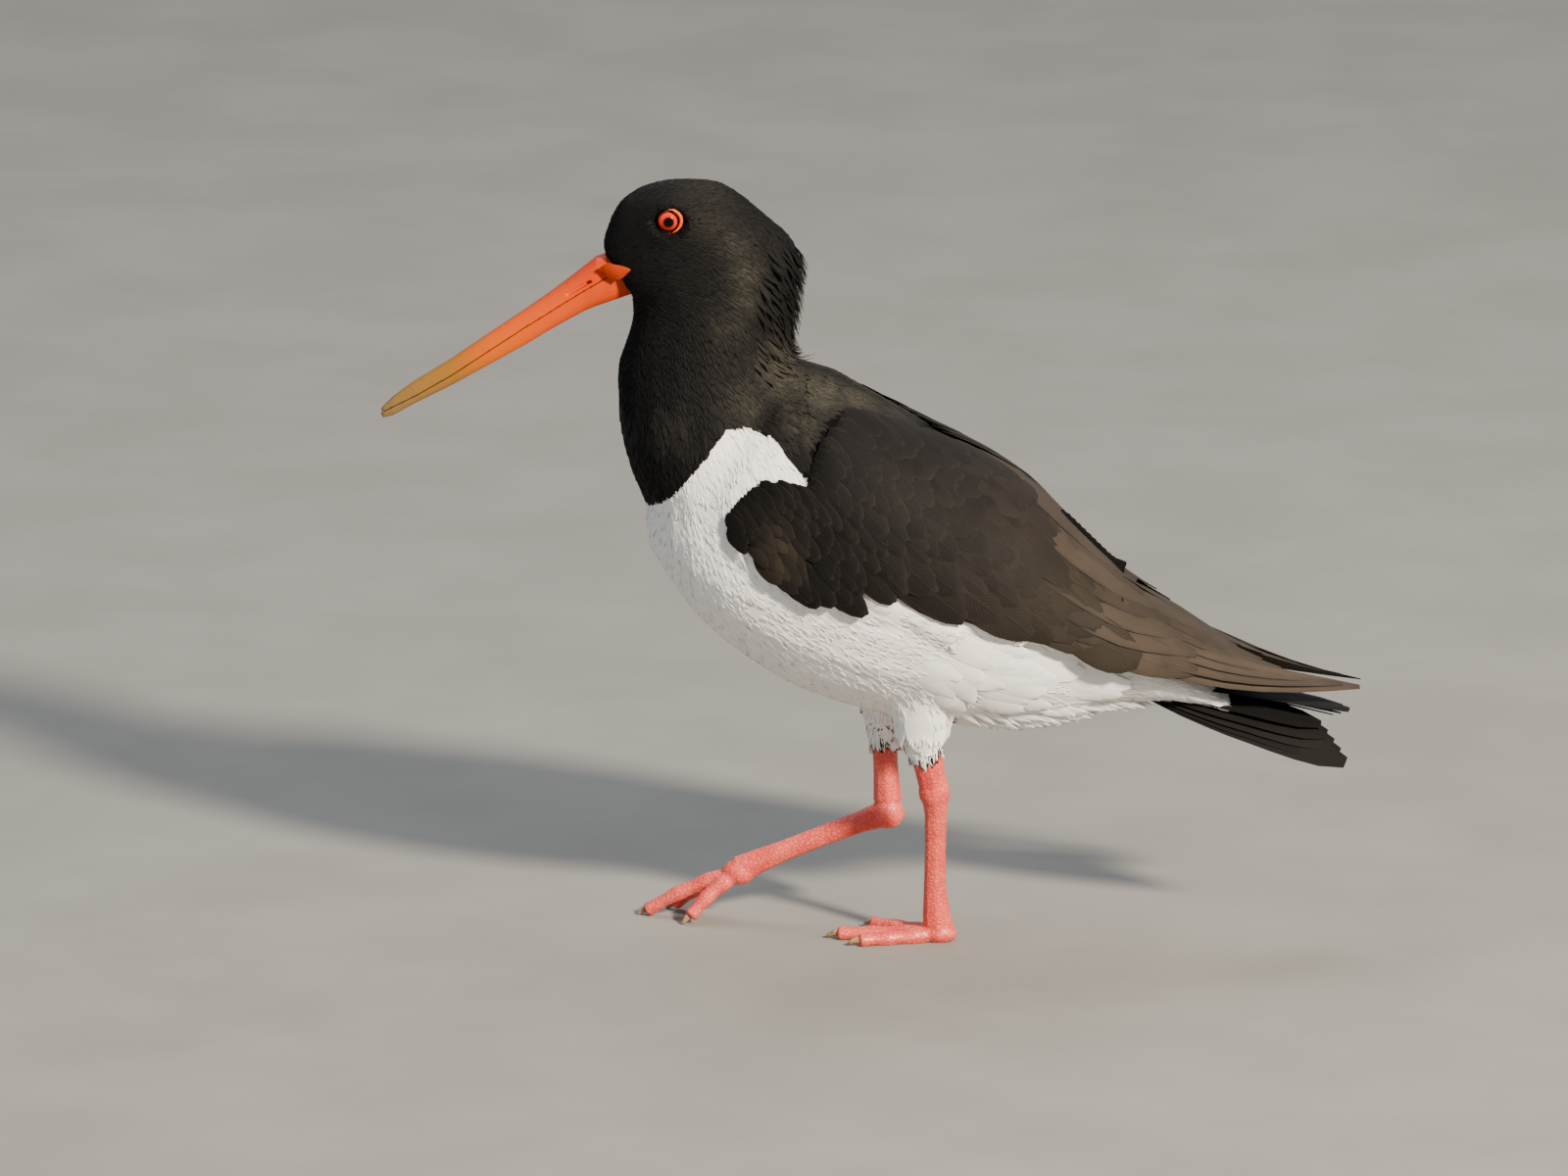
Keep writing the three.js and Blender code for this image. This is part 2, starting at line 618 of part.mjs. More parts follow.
function addLeg(name, leg) {
  const toeNames = Object.keys(leg.toes);
  const knob = (grow) => ball(leg.ankle.centre, leg.ankle.size, grow);
  const pad = ball(leg.pad.centre, leg.pad.size);
  const lower = joined([limb(leg.tarsus), knob(0), pad, ...toeNames.map((toeName) => toe(leg, toeName))]);
  const shank = limb(leg.shank).subtract(joined([bodyGrown, knob(GAP), limb(leg.tarsus, GAP)]));
  nodes.set(`thigh_${name}`, limb(leg.thigh).subtract(joined([bodyGrown, limb(leg.shank, GAP)])));
  nodes.set(`shank_${name}`, shank);
  nodes.set(`tarsus_${name}`, above(lower, leg.footCut));
  nodes.set(`foot_${name}`, onFloor(below(lower, leg.footCut)));
  for (const toeName of toeNames) {
    nodes.set(`claw_${name}_${toeName}`, onFloor(claw(leg, toeName).subtract(toe(leg, toeName, GAP))));
  }
}

addHead();
addBody();
addLeg("left", LEGS.left);
addLeg("right", LEGS.right);

// Materials

const COLOURS = {
  black: { color: 0x1b1a19, roughness: 0.75 },
  brown: { color: 0x2c2622, roughness: 0.7 },
  white: { color: 0xe9e5dd, roughness: 0.85 },
  orange: { color: 0xff6a1c, roughness: 0.4 },
  red: { color: 0xe0401f, roughness: 0.15 },
  pink: { color: 0xf0776a, roughness: 0.5 },
  horn: { color: 0x8f7a66, roughness: 0.45 },
};
const COLOUR_OF = [
  [/^(head|neck|mantle|tail)/, "black"],
  [/^wing/, "brown"],
  [/^(torso|thigh)/, "white"],
  [/^(bill|eyelid)/, "orange"],
  [/^eye_/, "red"],
  [/^(shank|tarsus|foot)/, "pink"],
  [/^claw/, "horn"],
];

const bird = new THREE.Group();
for (const [name, solid] of nodes) {
  const colour = COLOUR_OF.find(([pattern]) => pattern.test(name))[1];
  const material = new THREE.MeshStandardMaterial({ ...COLOURS[colour], metalness: 0 });
  const mesh = new THREE.Mesh(toGeometry(largest(solid)), material);
  mesh.name = name;
  bird.add(mesh);
}


// The origin comes to the floor, below the middle of the bounding box.
const box = new THREE.Box3().setFromObject(bird);
const centre = box.getCenter(new THREE.Vector3());
bird.position.set(-centre.x, -centre.y, -box.min.z);

export default bird;
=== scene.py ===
import functools
import math

import bmesh
import bpy
import numpy as np
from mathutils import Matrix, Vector
from mathutils.bvhtree import BVHTree


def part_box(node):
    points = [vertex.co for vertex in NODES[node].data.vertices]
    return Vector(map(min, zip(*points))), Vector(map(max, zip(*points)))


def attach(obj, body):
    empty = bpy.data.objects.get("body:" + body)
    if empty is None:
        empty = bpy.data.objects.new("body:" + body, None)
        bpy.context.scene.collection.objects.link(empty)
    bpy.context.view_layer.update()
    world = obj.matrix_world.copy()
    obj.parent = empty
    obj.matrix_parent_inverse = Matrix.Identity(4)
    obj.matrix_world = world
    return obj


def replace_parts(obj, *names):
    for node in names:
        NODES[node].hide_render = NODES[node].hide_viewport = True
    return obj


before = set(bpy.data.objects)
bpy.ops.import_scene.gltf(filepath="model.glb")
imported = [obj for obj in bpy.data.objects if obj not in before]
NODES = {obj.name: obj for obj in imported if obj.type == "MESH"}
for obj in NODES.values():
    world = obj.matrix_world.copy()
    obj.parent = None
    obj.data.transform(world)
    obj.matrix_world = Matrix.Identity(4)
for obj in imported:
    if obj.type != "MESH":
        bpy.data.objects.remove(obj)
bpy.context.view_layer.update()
MM = 0.001
rng = np.random.default_rng(7)
LEFT, RIGHT = -1, 1
SIDES = ((LEFT, "left"), (RIGHT, "right"))
TINY = 1e-9  # keeps a length or a density above zero

# The bird's own axes: x runs back from a point above its chest, in millimetres.
BILL_TIP = -171
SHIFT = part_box("bill_upper")[0].x / MM - BILL_TIP


def row(p):
    """Points in the bird's own millimetres, moved to the row frame in metres."""
    return (np.asarray(p, float) + (SHIFT, 0, 0)) * MM


def own(p):
    """Points in the row frame, moved to the bird's own millimetres."""
    return np.asarray(p, float) / MM - (SHIFT, 0, 0)


# Outline of the body: x, top, height of the widest line, bottom, half width.
TORSO = np.array([
    [-80, 156, 152.5, 149, 6], [-77.5, 163, 152, 141.5, 15], [-70, 183, 152, 129.5, 28],
    [-62, 195, 150, 118.5, 35], [-52, 203, 148, 108.5, 40], [-40, 208, 146, 99.5, 43.5],
    [-28, 210, 144, 92, 45.5], [-12, 205.5, 141, 85.5, 47], [5, 195.6, 137, 81, 47.5],
    [20, 187, 132, 78.6, 47], [40, 176.4, 127, 78, 44], [56, 162.4, 120, 77, 39],
    [70, 143.5, 113, 79, 33], [84, 125.5, 105, 83.6, 27.5], [100, 110, 98.5, 85.4, 22.5],
    [116, 99, 91.5, 84.3, 17.5], [129, 89.5, 85, 80.4, 12.5], [141, 81, 79, 77, 6],
])
# Outline over the folded wings, behind the body's widest part: x, top, widest line, half width.
WING_ROOF = np.array(
    [[x, top, middle, half] for x, top, middle, _, half in TORSO if x < 50]
    + [[56, 165.8, 121, 40.5], [74, 147, 112, 36], [91, 130.6, 106, 31], [108, 119.4, 101.6, 26],
       [125, 108, 97.6, 20.5], [142.5, 100, 94.4, 15], [156, 96.2, 92.2, 10.5], [174, 92.4, 90.4, 5.5]]
)
PROUD = (1.2, -0.4)  # how far a folded wing stands out of that outline, at its lower and upper border


def at(table, x):
    """The values of a station table at x."""
    return [np.interp(x, table[:, 0], table[:, c]) for c in range(1, table.shape[1])]


def smooth_table(table, step=2.0):
    """A station table drawn finer, on a smooth curve through the stations."""
    xs = table[:, 0]
    slopes = np.diff(table[:, 1:], axis=0) / np.diff(xs)[:, None]
    tangents = np.vstack([slopes[:1], np.zeros_like(slopes[1:]), slopes[-1:]])
    same = slopes[:-1] * slopes[1:] > 0
    total = slopes[:-1] + slopes[1:]
    middle = np.where(same, 2 * slopes[:-1] * slopes[1:] / np.where(same, total, 1), 0)
    tangents[1:-1] = middle
    fine = np.arange(xs[0], xs[-1] + step, step).clip(None, xs[-1])
    i = np.clip(np.searchsorted(xs, fine, side="right") - 1, 0, len(xs) - 2)
    span = np.diff(xs)[i][:, None]
    t = (fine[:, None] - xs[i][:, None]) / span
    a, b = tangents[i] * span, tangents[i + 1] * span
    rise = table[i + 1, 1:] - table[i, 1:]
    return np.hstack([fine[:, None], table[i, 1:] + t * (a + t * (3 * rise - 2 * a - b + t * (a + b - 2 * rise)))])


TORSO_FINE = smooth_table(TORSO)
ROOF_FINE = smooth_table(WING_ROOF)


def smoothstep(value, low, high):
    """0 up to low, 1 from high on, and a smooth rise between them."""
    t = np.clip((np.asarray(value, float) - low) / (high - low), 0, 1)
    return t * t * (3 - 2 * t)


def full(wave, power=0.93):
    """A sine or cosine made a little fuller, for a body that is rounder than an ellipse."""
    return np.sign(wave) * np.abs(wave) ** power


def unit(vectors):
    """Vectors of length 1, along the last axis."""
    return vectors / (np.linalg.norm(vectors, axis=-1, keepdims=True) + TINY)


def on_wing(side, x, angle, out, roof=ROOF_FINE, trunk=TORSO_FINE):
    """A point on the folded wing's outer surface, at an angle in degrees about the widest line."""
    top, middle, half = at(roof, x)
    bottom = at(trunk, x)[2]
    turn = np.radians(angle)
    rise = full(np.sin(turn))
    proud = PROUD[0] + (PROUD[1] - PROUD[0]) * smoothstep(angle, 20, 75) + out
    reach = np.where(rise > 0, top - middle, np.maximum(middle - bottom, 12)) + proud
    return np.array([x, side * (half + proud) * full(np.cos(turn)), middle + reach * rise])


def on_trunk(side, x, angle):
    """A point on the body's surface, at an angle in degrees about the widest line."""
    top, middle, bottom, half = at(TORSO, x)
    turn = np.radians(angle)
    rise = full(np.sin(turn))
    reach = np.where(rise > 0, top - middle, middle - bottom)
    return np.array([x, side * half * full(np.cos(turn)), middle + reach * rise])


# The view: square to the bird's side, from a little above, through a long lens.
VIEW_WIDTH = 552  # millimetres across the picture at the bird
VIEW_DROP = math.radians(14)
VIEW_DISTANCE = 6000  # millimetres
VIEW_AIM = (-29.3, 0, 126.3)
PICTURE = (1600, 1200)  # the picture's size in pixels, in which the borders below were read
PIXELS_PER_MM = PICTURE[0] / VIEW_WIDTH


def seen_at(p):
    """Where points on the bird show in the picture, in pixels."""
    x, y, z = p[0] - VIEW_AIM[0], p[1], p[2] - VIEW_AIM[2]
    level, up = math.cos(VIEW_DROP), math.sin(VIEW_DROP)
    scale = PIXELS_PER_MM * VIEW_DISTANCE / (VIEW_DISTANCE + y * level - z * up)
    return PICTURE[0] / 2 + x * scale, PICTURE[1] / 2 - (y * up + z * level) * scale


def placed(surface, spots):
    """The x, the angle and the height at which spots of the picture lie on a surface of the bird's left side."""
    angles = np.linspace(-60, 88, 600)
    found = []
    for u, v in spots:
        x = VIEW_AIM[0] + (u - PICTURE[0] / 2) / PIXELS_PER_MM
        for _ in range(3):
            seen = seen_at(surface(np.full(len(angles), x), angles))
            i = np.argmin(np.abs(seen[1] - v))
            x += (u - seen[0][i]) / PIXELS_PER_MM
        found.append((round(x, 1), round(angles[i]), round(float(surface(x, angles[i])[2]), 1)))
    return found


# Colour and materials


def colour(code):
    """A hexadecimal sRGB colour as linear RGBA."""
    channels = [int(code[i:i + 2], 16) / 255 for i in (0, 2, 4)]
    return [c / 12.92 if c <= 0.04045 else ((c + 0.055) / 1.055) ** 2.4 for c in channels] + [1.0]


def add(tree, kind, inputs=None, output=0, stops=(), **settings):
    """Adds a node with its settings, colour stops and inputs, which are values or sockets. Gives one output."""
    node = tree.nodes.new("ShaderNode" + kind)
    for key, value in settings.items():
        setattr(node, key, value)
    for key, value in (inputs or {}).items():
        if isinstance(value, bpy.types.NodeSocket):
            tree.links.new(value, node.inputs[key])
        else:
            node.inputs[key].default_value = value
    if stops:
        elements = node.color_ramp.elements
        while len(elements) < len(stops):
            elements.new(0.5)
        for element, (place, code) in zip(elements, stops):
            element.position = place
            element.color = colour(code)
    return node.outputs[output]


PLUS = {"operation": "ADD"}
MINUS = {"operation": "SUBTRACT"}
TIMES = {"operation": "MULTIPLY"}
SMOOTH = {"interpolation_type": "SMOOTHSTEP"}
MIXED = {"output": 2, "data_type": "RGBA"}
SHADED = {"blend_type": "MULTIPLY", **MIXED}


def patches(where, size, detail=3.0):
    """The inputs of a random pattern with patches of this size in millimetres."""
    return {"Vector": where, "Scale": 1000 / size, "Detail": detail, "Roughness": 0.55}


def between(value, low, high, start=0.0, end=1.0):
    """The inputs of a step from start, where the value is low, to end, where it is high."""
    return {0: value, 1: low, 2: high, 3: start, 4: end}


def material(name, roughness, specular=0.5, sheen=0.0, coat=0.0, subsurface=0.0):
    """A material and a function that adds nodes to it."""
    made = bpy.data.materials.new(name)
    made.use_nodes = True
    finish = {
        "Roughness": roughness, "Specular IOR Level": specular, "Sheen Weight": sheen, "Sheen Roughness": 0.45,
        "Coat Weight": coat, "Coat Roughness": 0.08, "Subsurface Weight": subsurface, "Subsurface Scale": 2 * MM,
    }
    for key, value in finish.items():
        made.node_tree.nodes["Principled BSDF"].inputs[key].default_value = value
    return made, functools.partial(add, made.node_tree)


def surfaced(made, put, shade, height=None, strength=0.0, depth=0.0):
    """The material with its colour, and with a relief of this depth in millimetres."""
    tree = made.node_tree
    inputs = tree.nodes["Principled BSDF"].inputs
    tree.links.new(shade, inputs["Base Color"])
    if height is not None:
        relief = put("Bump", {"Height": height, "Strength": strength, "Distance": depth * MM})
        tree.links.new(relief, inputs["Normal"])
    return made


def feather_material(name, base, tip, edge, dust_and_sheen_colour, barbs, relief, specular, sheen, grain, tone_range, white=None,
                     black=None):
    """Keratin, grown as a vane of parallel barbs that slant from a central shaft.

    It gives the eye a dull, faintly silky surface, darker at the root and paler at the worn rim. Real barbs lie
    about 0.2 mm apart, too fine to show, so a vane has this many coarser ones. White or black takes over past the
    border between the hood and the white plumage."""
    made, put = material(name, 0.7, specular, sheen)
    where = put("TexCoord", output="Object")
    vane = put("UVMap", uv_map="Vane")
    along = put("SeparateXYZ", {0: vane}, 1)
    across = put("Math", {0: put("SeparateXYZ", {0: vane}), 1: 0.5}, **MINUS)
    off = put("Math", {0: across}, operation="ABSOLUTE")
    tone = put("Attribute", output="Fac", attribute_name="tone")
    dust_and_sheen = put("Attribute", output="Fac", attribute_name="dust_and_sheen")

    ahead = put("Math", {0: along, 1: barbs}, **TIMES)
    slant = put("Math", {0: off, 1: barbs * 0.45}, **TIMES)
    phase = put("Math", {0: ahead, 1: slant}, **MINUS)
    wobble = put("Math", {0: put("TexNoise", patches(where, 1.11)), 1: 1.6}, **TIMES)
    turns = put("Math", {0: phase, 1: wobble}, **PLUS)
    stripe = put("Math", {0: put("Math", {0: turns, 1: 2 * math.pi}, **TIMES)}, operation="SINE")
    shaft = put("MapRange", between(off, 0.02, 0.045, 1.0, 0.0), **SMOOTH)

    toward_tip = put("MapRange", between(along, 0.25, 0.95), **SMOOTH)
    shade = put("Mix", {0: toward_tip, 6: colour(base), 7: colour(tip)}, **MIXED)
    # Mixes in the dust colour by its share: a painted olive sheen on the black coat, brown wear with some painted
    # sheen on the wings, and a random tone elsewhere.
    shade = put("Mix", {0: dust_and_sheen, 6: shade, 7: colour(dust_and_sheen_colour)}, **MIXED)
    sides = put("MapRange", between(off, 0.36, 0.5), **SMOOTH)
    end = put("MapRange", between(along, 0.88, 1.0), **SMOOTH)
    rim = put("Math", {0: sides, 1: end}, operation="MAXIMUM")
    shade = put("Mix", {0: put("Math", {0: rim, 1: 0.45}, **TIMES), 6: shade, 7: colour(edge)}, **MIXED)
    dim, bright = 1.0 - grain, 1.0 + grain
    cloud = put("MapRange", between(put("TexNoise", patches(where, 14.3)), 0.3, 0.7, dim, bright), **SMOOTH)
    streak = put("MapRange", between(stripe, -1.0, 1.0, dim, bright), **SMOOTH)
    lit = put("Math", {0: streak, 1: cloud}, **TIMES)
    lit = put("Math", {0: lit, 1: put("MapRange", between(tone, 0.0, 1.0, *tone_range), **SMOOTH)}, **TIMES)
    shade = put("Mix", {0: 1.0, 6: shade, 7: lit}, **SHADED)
    if white or black:
        inside = put("Attribute", output="Fac", attribute_name="hood")
        in_hood = put("MapRange", between(inside, -0.25, 0.25), **SMOOTH)
        outer, inner = colour(white) if white else shade, colour(black) if black else shade
        shade = put("Mix", {0: in_hood, 6: outer, 7: inner}, **MIXED)
    barb_height = put("Math", {0: stripe, 1: 0.5}, **TIMES)
    shaft_height = put("Math", {0: shaft, 1: 2.0}, **TIMES)
    height = put("Math", {0: barb_height, 1: shaft_height}, **PLUS)
    return surfaced(made, put, shade, height, relief, 0.12)


# Meshes


def new_object(name, mesh, made, body="root"):
    """A smooth object of one material, with its body."""
    obj = bpy.data.objects.new(name, mesh)
    bpy.context.scene.collection.objects.link(obj)
    mesh.materials.clear()
    mesh.materials.append(made)
    mesh.polygons.foreach_set("use_smooth", np.ones(len(mesh.polygons), bool))
    mesh.polygons.foreach_set("material_index", np.zeros(len(mesh.polygons), np.int32))
    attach(obj, body)
    return obj


def mesh_of(name, verts, quads):
    """A mesh of four-sided faces."""
    mesh = bpy.data.meshes.new(name)
    mesh.vertices.add(len(verts))
    mesh.vertices.foreach_set("co", np.ascontiguousarray(verts, np.float32).ravel())
    mesh.loops.add(quads.size)
    mesh.loops.foreach_set("vertex_index", np.ascontiguousarray(quads, np.int32).ravel())
    mesh.polygons.add(len(quads))
    mesh.polygons.foreach_set("loop_start", np.arange(0, quads.size, 4, dtype=np.int32))
    mesh.update(calc_edges=True)
    return mesh


def lens_layout(rows, cols):
    """Indices of a closed lens: a full grid on top, and an inner grid below that shares its border."""
    top = np.arange(rows * cols).reshape(rows, cols)
    low = top.copy()
    low[1:-1, 1:-1] = rows * cols + np.arange((rows - 2) * (cols - 2)).reshape(rows - 2, cols - 2)
    quads = []
    for grid, flip in ((top, False), (low, True)):
        a, b, c, d = grid[:-1, :-1], grid[:-1, 1:], grid[1:, 1:], grid[1:, :-1]
        q = np.stack([a, b, c, d] if not flip else [a, d, c, b], -1)
        for corner in ((0, -1), (-1, 0)):
            q[corner] = np.roll(q[corner], -1)
        quads.append(q.reshape(-1, 4))
    return top, np.vstack(quads)


OWN_SHAPE = 0.4  # how far a vane's own form turns the light on it


def vanes(name, path, normal, side, half, profile, thickness, camber, made, tone, cells, dust_and_sheen, ragged,
          round_off, border=None):
    """Closed vanes from arrays of paths, normals and side vectors, each of shape (count, rows, 3), in millimetres.

    A vane is lit as the plumage under it is, turned to its sides by round_off, so that feathers read as one coat.
    Ragged is how far its rim frays, and border moves its place against the edge of the hood."""
    count, rows, _ = path.shape
    cols = 5 if rows > 5 else 3
    across = np.linspace(-1, 1, cols)
    wide = (half[:, None] * profile[None, :])[:, :, None, None]
    droop = -camber[:, None, None, None] * (across**2)[None, None, :, None]
    pull = rng.normal(0, ragged, (count, rows, cols, 1)) * np.linspace(0, 1, rows)[None, :, None, None]
    run = unit(np.gradient(path, axis=1))
    flat = path[:, :, None] + side[:, :, None] * across[None, None, :, None] * wide
    flat = flat + normal[:, :, None] * droop + run[:, :, None] * pull
    swell = thickness[:, None, None, None] * (1 - across**2)[None, None, :, None]
    swell = swell * np.sin(np.pi * np.linspace(0, 1, rows).clip(0.12, 0.88))[None, :, None, None]
    top = flat + normal[:, :, None] * swell
    low = flat - normal[:, :, None] * swell
    top[:, [0, -1]] = flat[:, [0, -1]]
    inner = low[:, 1:-1, 1:-1].reshape(count, -1, 3)
    verts = np.concatenate([top.reshape(count, -1, 3), inner], 1)
    per = verts.shape[1]
    layout, quads = lens_layout(rows, cols)
    all_quads = (quads[None] + (np.arange(count) * per)[:, None, None]).reshape(-1, 4)
    mesh = mesh_of(name, row(verts.reshape(-1, 3)), all_quads)
    u, v = np.meshgrid(np.linspace(0, 1, cols), np.linspace(0, 1, rows))
    grid = np.stack([u, v], -1)
    local = np.concatenate([grid.reshape(-1, 2), grid[1:-1, 1:-1].reshape(-1, 2)])
    corners = local[quads.ravel()]
    uv = mesh.uv_layers.new(name="Vane")
    uv.data.foreach_set("uv", np.tile(corners, (count, 1)).astype(np.float32).ravel())
    bake = mesh.uv_layers.new(name="OFBake")
    places = cells[:, None, :2] + (corners[None] - 0.5) * cells[:, None, 2:]
    bake.data.foreach_set("uv", places.astype(np.float32).ravel())
    for key, values in (("tone", tone), ("dust_and_sheen", dust_and_sheen)):
        layer = mesh.attributes.new(key, "FLOAT", "POINT")
        layer.data.foreach_set("value", np.repeat(values, per).astype(np.float32))
    if border is not None:
        layer = mesh.attributes.new("hood", "FLOAT", "POINT")
        layer.data.foreach_set("value", (hood(verts.reshape(-1, 3)) + np.repeat(border, per)).astype(np.float32))
    obj = new_object(name, mesh, made)
    shape = unit(np.cross(np.gradient(top, axis=2), np.gradient(top, axis=1)))
    rounded = normal[:, :, None] + side[:, :, None] * (across * round_off)[None, None, :, None]
    facing = unit(rounded + OWN_SHAPE * shape).reshape(count, -1, 3)
    facing = np.concatenate([facing, -facing[:, layout[1:-1, 1:-1].ravel()]], 1)
    layer = mesh.attributes.new("custom_normal", "FLOAT_VECTOR", "POINT")
    layer.data.foreach_set("vector", facing.astype(np.float32).ravel())
    return obj


# The bird's skin, under every feather

EYE = np.array([-69.8, 9.2, 261.7])
EYE_RADIUS = 5.6
RING = np.array([-69.8, 13.75, 261.7])
BILL_BASE = np.array([-93.0, 0, 239.5])
WING_CUT_X = 92  # from here on the folded wing stands clear of the body


def own_mesh(names, voxel, smooth, grow=0.0):
    """One smooth closed mesh around these solids, in the row frame, from voxels of this size in millimetres."""
    bm = bmesh.new()
    for node in names:
        part = bmesh.new()
        part.from_mesh(NODES[node].data)
        if node.startswith("wing"):
            geometry = part.verts[:] + part.edges[:] + part.faces[:]
            plane = row([WING_CUT_X, 0, 0])
            bmesh.ops.bisect_plane(part, geom=geometry, plane_co=plane, plane_no=(1, 0, 0), clear_outer=True)
            bmesh.ops.holes_fill(part, edges=[e for e in part.edges if e.is_boundary])
        part.normal_update()
        for v in part.verts:
            v.co += v.normal * grow * MM
        scratch = bpy.data.meshes.new("scratch")
        part.to_mesh(scratch)
        part.free()
        bm.from_mesh(scratch)
        bpy.data.meshes.remove(scratch)
    mesh = bpy.data.meshes.new("joined")
    bm.to_mesh(mesh)
    bm.free()
    obj = bpy.data.objects.new("joined", mesh)
    bpy.context.scene.collection.objects.link(obj)
    remesh = obj.modifiers.new("Remesh", "REMESH")
    remesh.mode = "VOXEL"
    remesh.voxel_size = voxel * MM
    soften = obj.modifiers.new("Smooth", "SMOOTH")
    soften.factor = 0.5
    soften.iterations = smooth
    bpy.context.view_layer.update()
    made = bpy.data.meshes.new_from_object(obj.evaluated_get(bpy.context.evaluated_depsgraph_get()))
    bpy.data.objects.remove(obj)
    bpy.data.meshes.remove(mesh)
    return keep_largest(made)


def keep_largest(mesh):
    """The mesh without its smaller loose parts."""
    bm = bmesh.new()
    bm.from_mesh(mesh)
    bm.verts.ensure_lookup_table()
    seen, best = set(), []
    for start in bm.verts:
        if start.index in seen:
            continue
        group, stack = [], [start]
        seen.add(start.index)
        while stack:
            v = stack.pop()
            group.append(v)
            for e in v.link_edges:
                other = e.other_vert(v)
                if other.index not in seen:
                    seen.add(other.index)
                    stack.append(other)
        if len(group) > len(best):
            best = group
    keep = {v.index for v in best}
    bmesh.ops.delete(bm, geom=[v for v in bm.verts if v.index not in keep], context="VERTS")
    bm.to_mesh(mesh)
    bm.free()
    return mesh


def ring_distance(p):
    """Distance from the nearer eye ring's middle, seen from the side, where the point is on the face."""
    gap = np.hypot(p[:, 0] - RING[0], (p[:, 2] - RING[2]) * 1.15)
    return np.where(np.abs(p[:, 1]) > 7, gap, 99.0)


THIGHS = np.array([[19.2, -20], [7, 20]])


def on_thigh(p):
    """How far a place is out on a thigh: 0 on the belly and 1 at the thigh's lower end."""
    near = np.min([np.hypot(p[:, 0] - x, p[:, 1] - y) for x, y in THIGHS], axis=0)
    return smoothstep(12.5 - near, 0, 3) * smoothstep(90 - p[:, 2], 0, 9)


def on_back(p):
    """1 on the mantle and along the back between the wings, and 0 elsewhere."""
    reach = np.where(p[:, 0] < -20, 40, 15)
    return smoothstep(p[:, 0], -38, -26) * smoothstep(p[:, 2], 178, 190) * smoothstep(reach - np.abs(p[:, 1]), 0, 5)


def coat_depth(p):
    """How deep the skin lies under the feathers' tips, in millimetres."""
    head = np.interp(p[:, 2], [205, 240], [2.1, 1.1]) * (1 - 0.75 * on_thigh(p)) * (1 - 0.6 * on_back(p))
    thin = np.interp(ring_distance(p), [5, 12], [0.1, 1.0])
    socket = np.interp(ring_distance(p), [5.3, 6.2], [2.6, 0.0])
    bill = np.interp(np.linalg.norm(p - BILL_BASE, axis=1), [8, 20], [0.25, 1.0])
    return head * np.minimum(thin, bill) + socket


# The lower border of the black hood and the upper border of the white spur before the wing, in the picture.
BIB_SEEN = [(657, 517), (685, 507), (705, 485), (725, 460), (741, 435.5), (765, 440), (792, 450), (805, 470),
            (821, 490)]
# The same border on the bird: x, z.
BIB = np.array([
    (-82, 155),
    *[(x, z) for x, _, z in placed(lambda x, angle: on_trunk(LEFT, x, angle), BIB_SEEN)],
    (-18, 150),
])
RUMP_X = 104


def hood(p):
    """How far inside the black of the hood, back and rump a place is, in millimetres. Below 0 it is white."""
    front = p[:, 2] - np.interp(p[:, 0], BIB[:, 0], BIB[:, 1])
    top, middle, _, _ = at(TORSO_FINE, p[:, 0])
    back = np.minimum(p[:, 2] - middle - (top - middle) * 0.25, RUMP_X - p[:, 0])
    return np.where(p[:, 0] > -20, back, front)


def skin_material():
    """Down, grown short and soft over the skin. It is matte, so a gap between feathers stays quiet."""
    made, put = material("feathered_skin_of_soft_down", 0.9, 0.08)
    where = put("TexCoord", output="Object")
    dark = put("Attribute", output="Fac", attribute_name="dark")
    tufts = put("MapRange", between(put("TexNoise", patches(where, 1.43)), 0.3, 0.7, 0.8, 1.15), **SMOOTH)
    shade = put("Mix", {0: dark, 6: colour("f0ece3"), 7: colour("0a0909")}, **MIXED)
    shade = put("Mix", {0: 1.0, 6: shade, 7: tufts}, **SHADED)
    return surfaced(made, put, shade, put("TexNoise", patches(where, 0.667)), 0.4, 0.2)


FLESH = ("head", "neck", "mantle", "torso", "thigh_left", "thigh_right")
UNDER_SKIN = ("wing_left", "wing_right", "eye_left", "eye_right")


SKIN_SWELL = 0.35  # the skin's mesh starts this far out, so that thin places hold, and is sunk by as much


def build_skin():
    """The skin, sunk under the plumage by the coat's depth."""
    mesh = own_mesh(FLESH + UNDER_SKIN, 1.8, 7, SKIN_SWELL)
    co = np.empty(len(mesh.vertices) * 3, np.float32)
    no = co.copy()
    mesh.vertices.foreach_get("co", co)
    mesh.vertices.foreach_get("normal", no)
    p, n = own(co.reshape(-1, 3)), no.reshape(-1, 3)
    p = p - n * (coat_depth(p) + SKIN_SWELL)[:, None]
    mesh.vertices.foreach_set("co", row(p).astype(np.float32).ravel())
    dark = mesh.attributes.new("dark", "FLOAT", "POINT")
    dark.data.foreach_set("value", (hood(p) > 0).astype(np.float32))
    mesh.update()
    skin = new_object("skin", mesh, skin_material())
    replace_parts(skin, *FLESH)
    return mesh


skin_mesh = build_skin()
skin_tree = BVHTree.FromPolygons(
    [v.co[:] for v in skin_mesh.vertices], [p.vertices[:] for p in skin_mesh.polygons]
)

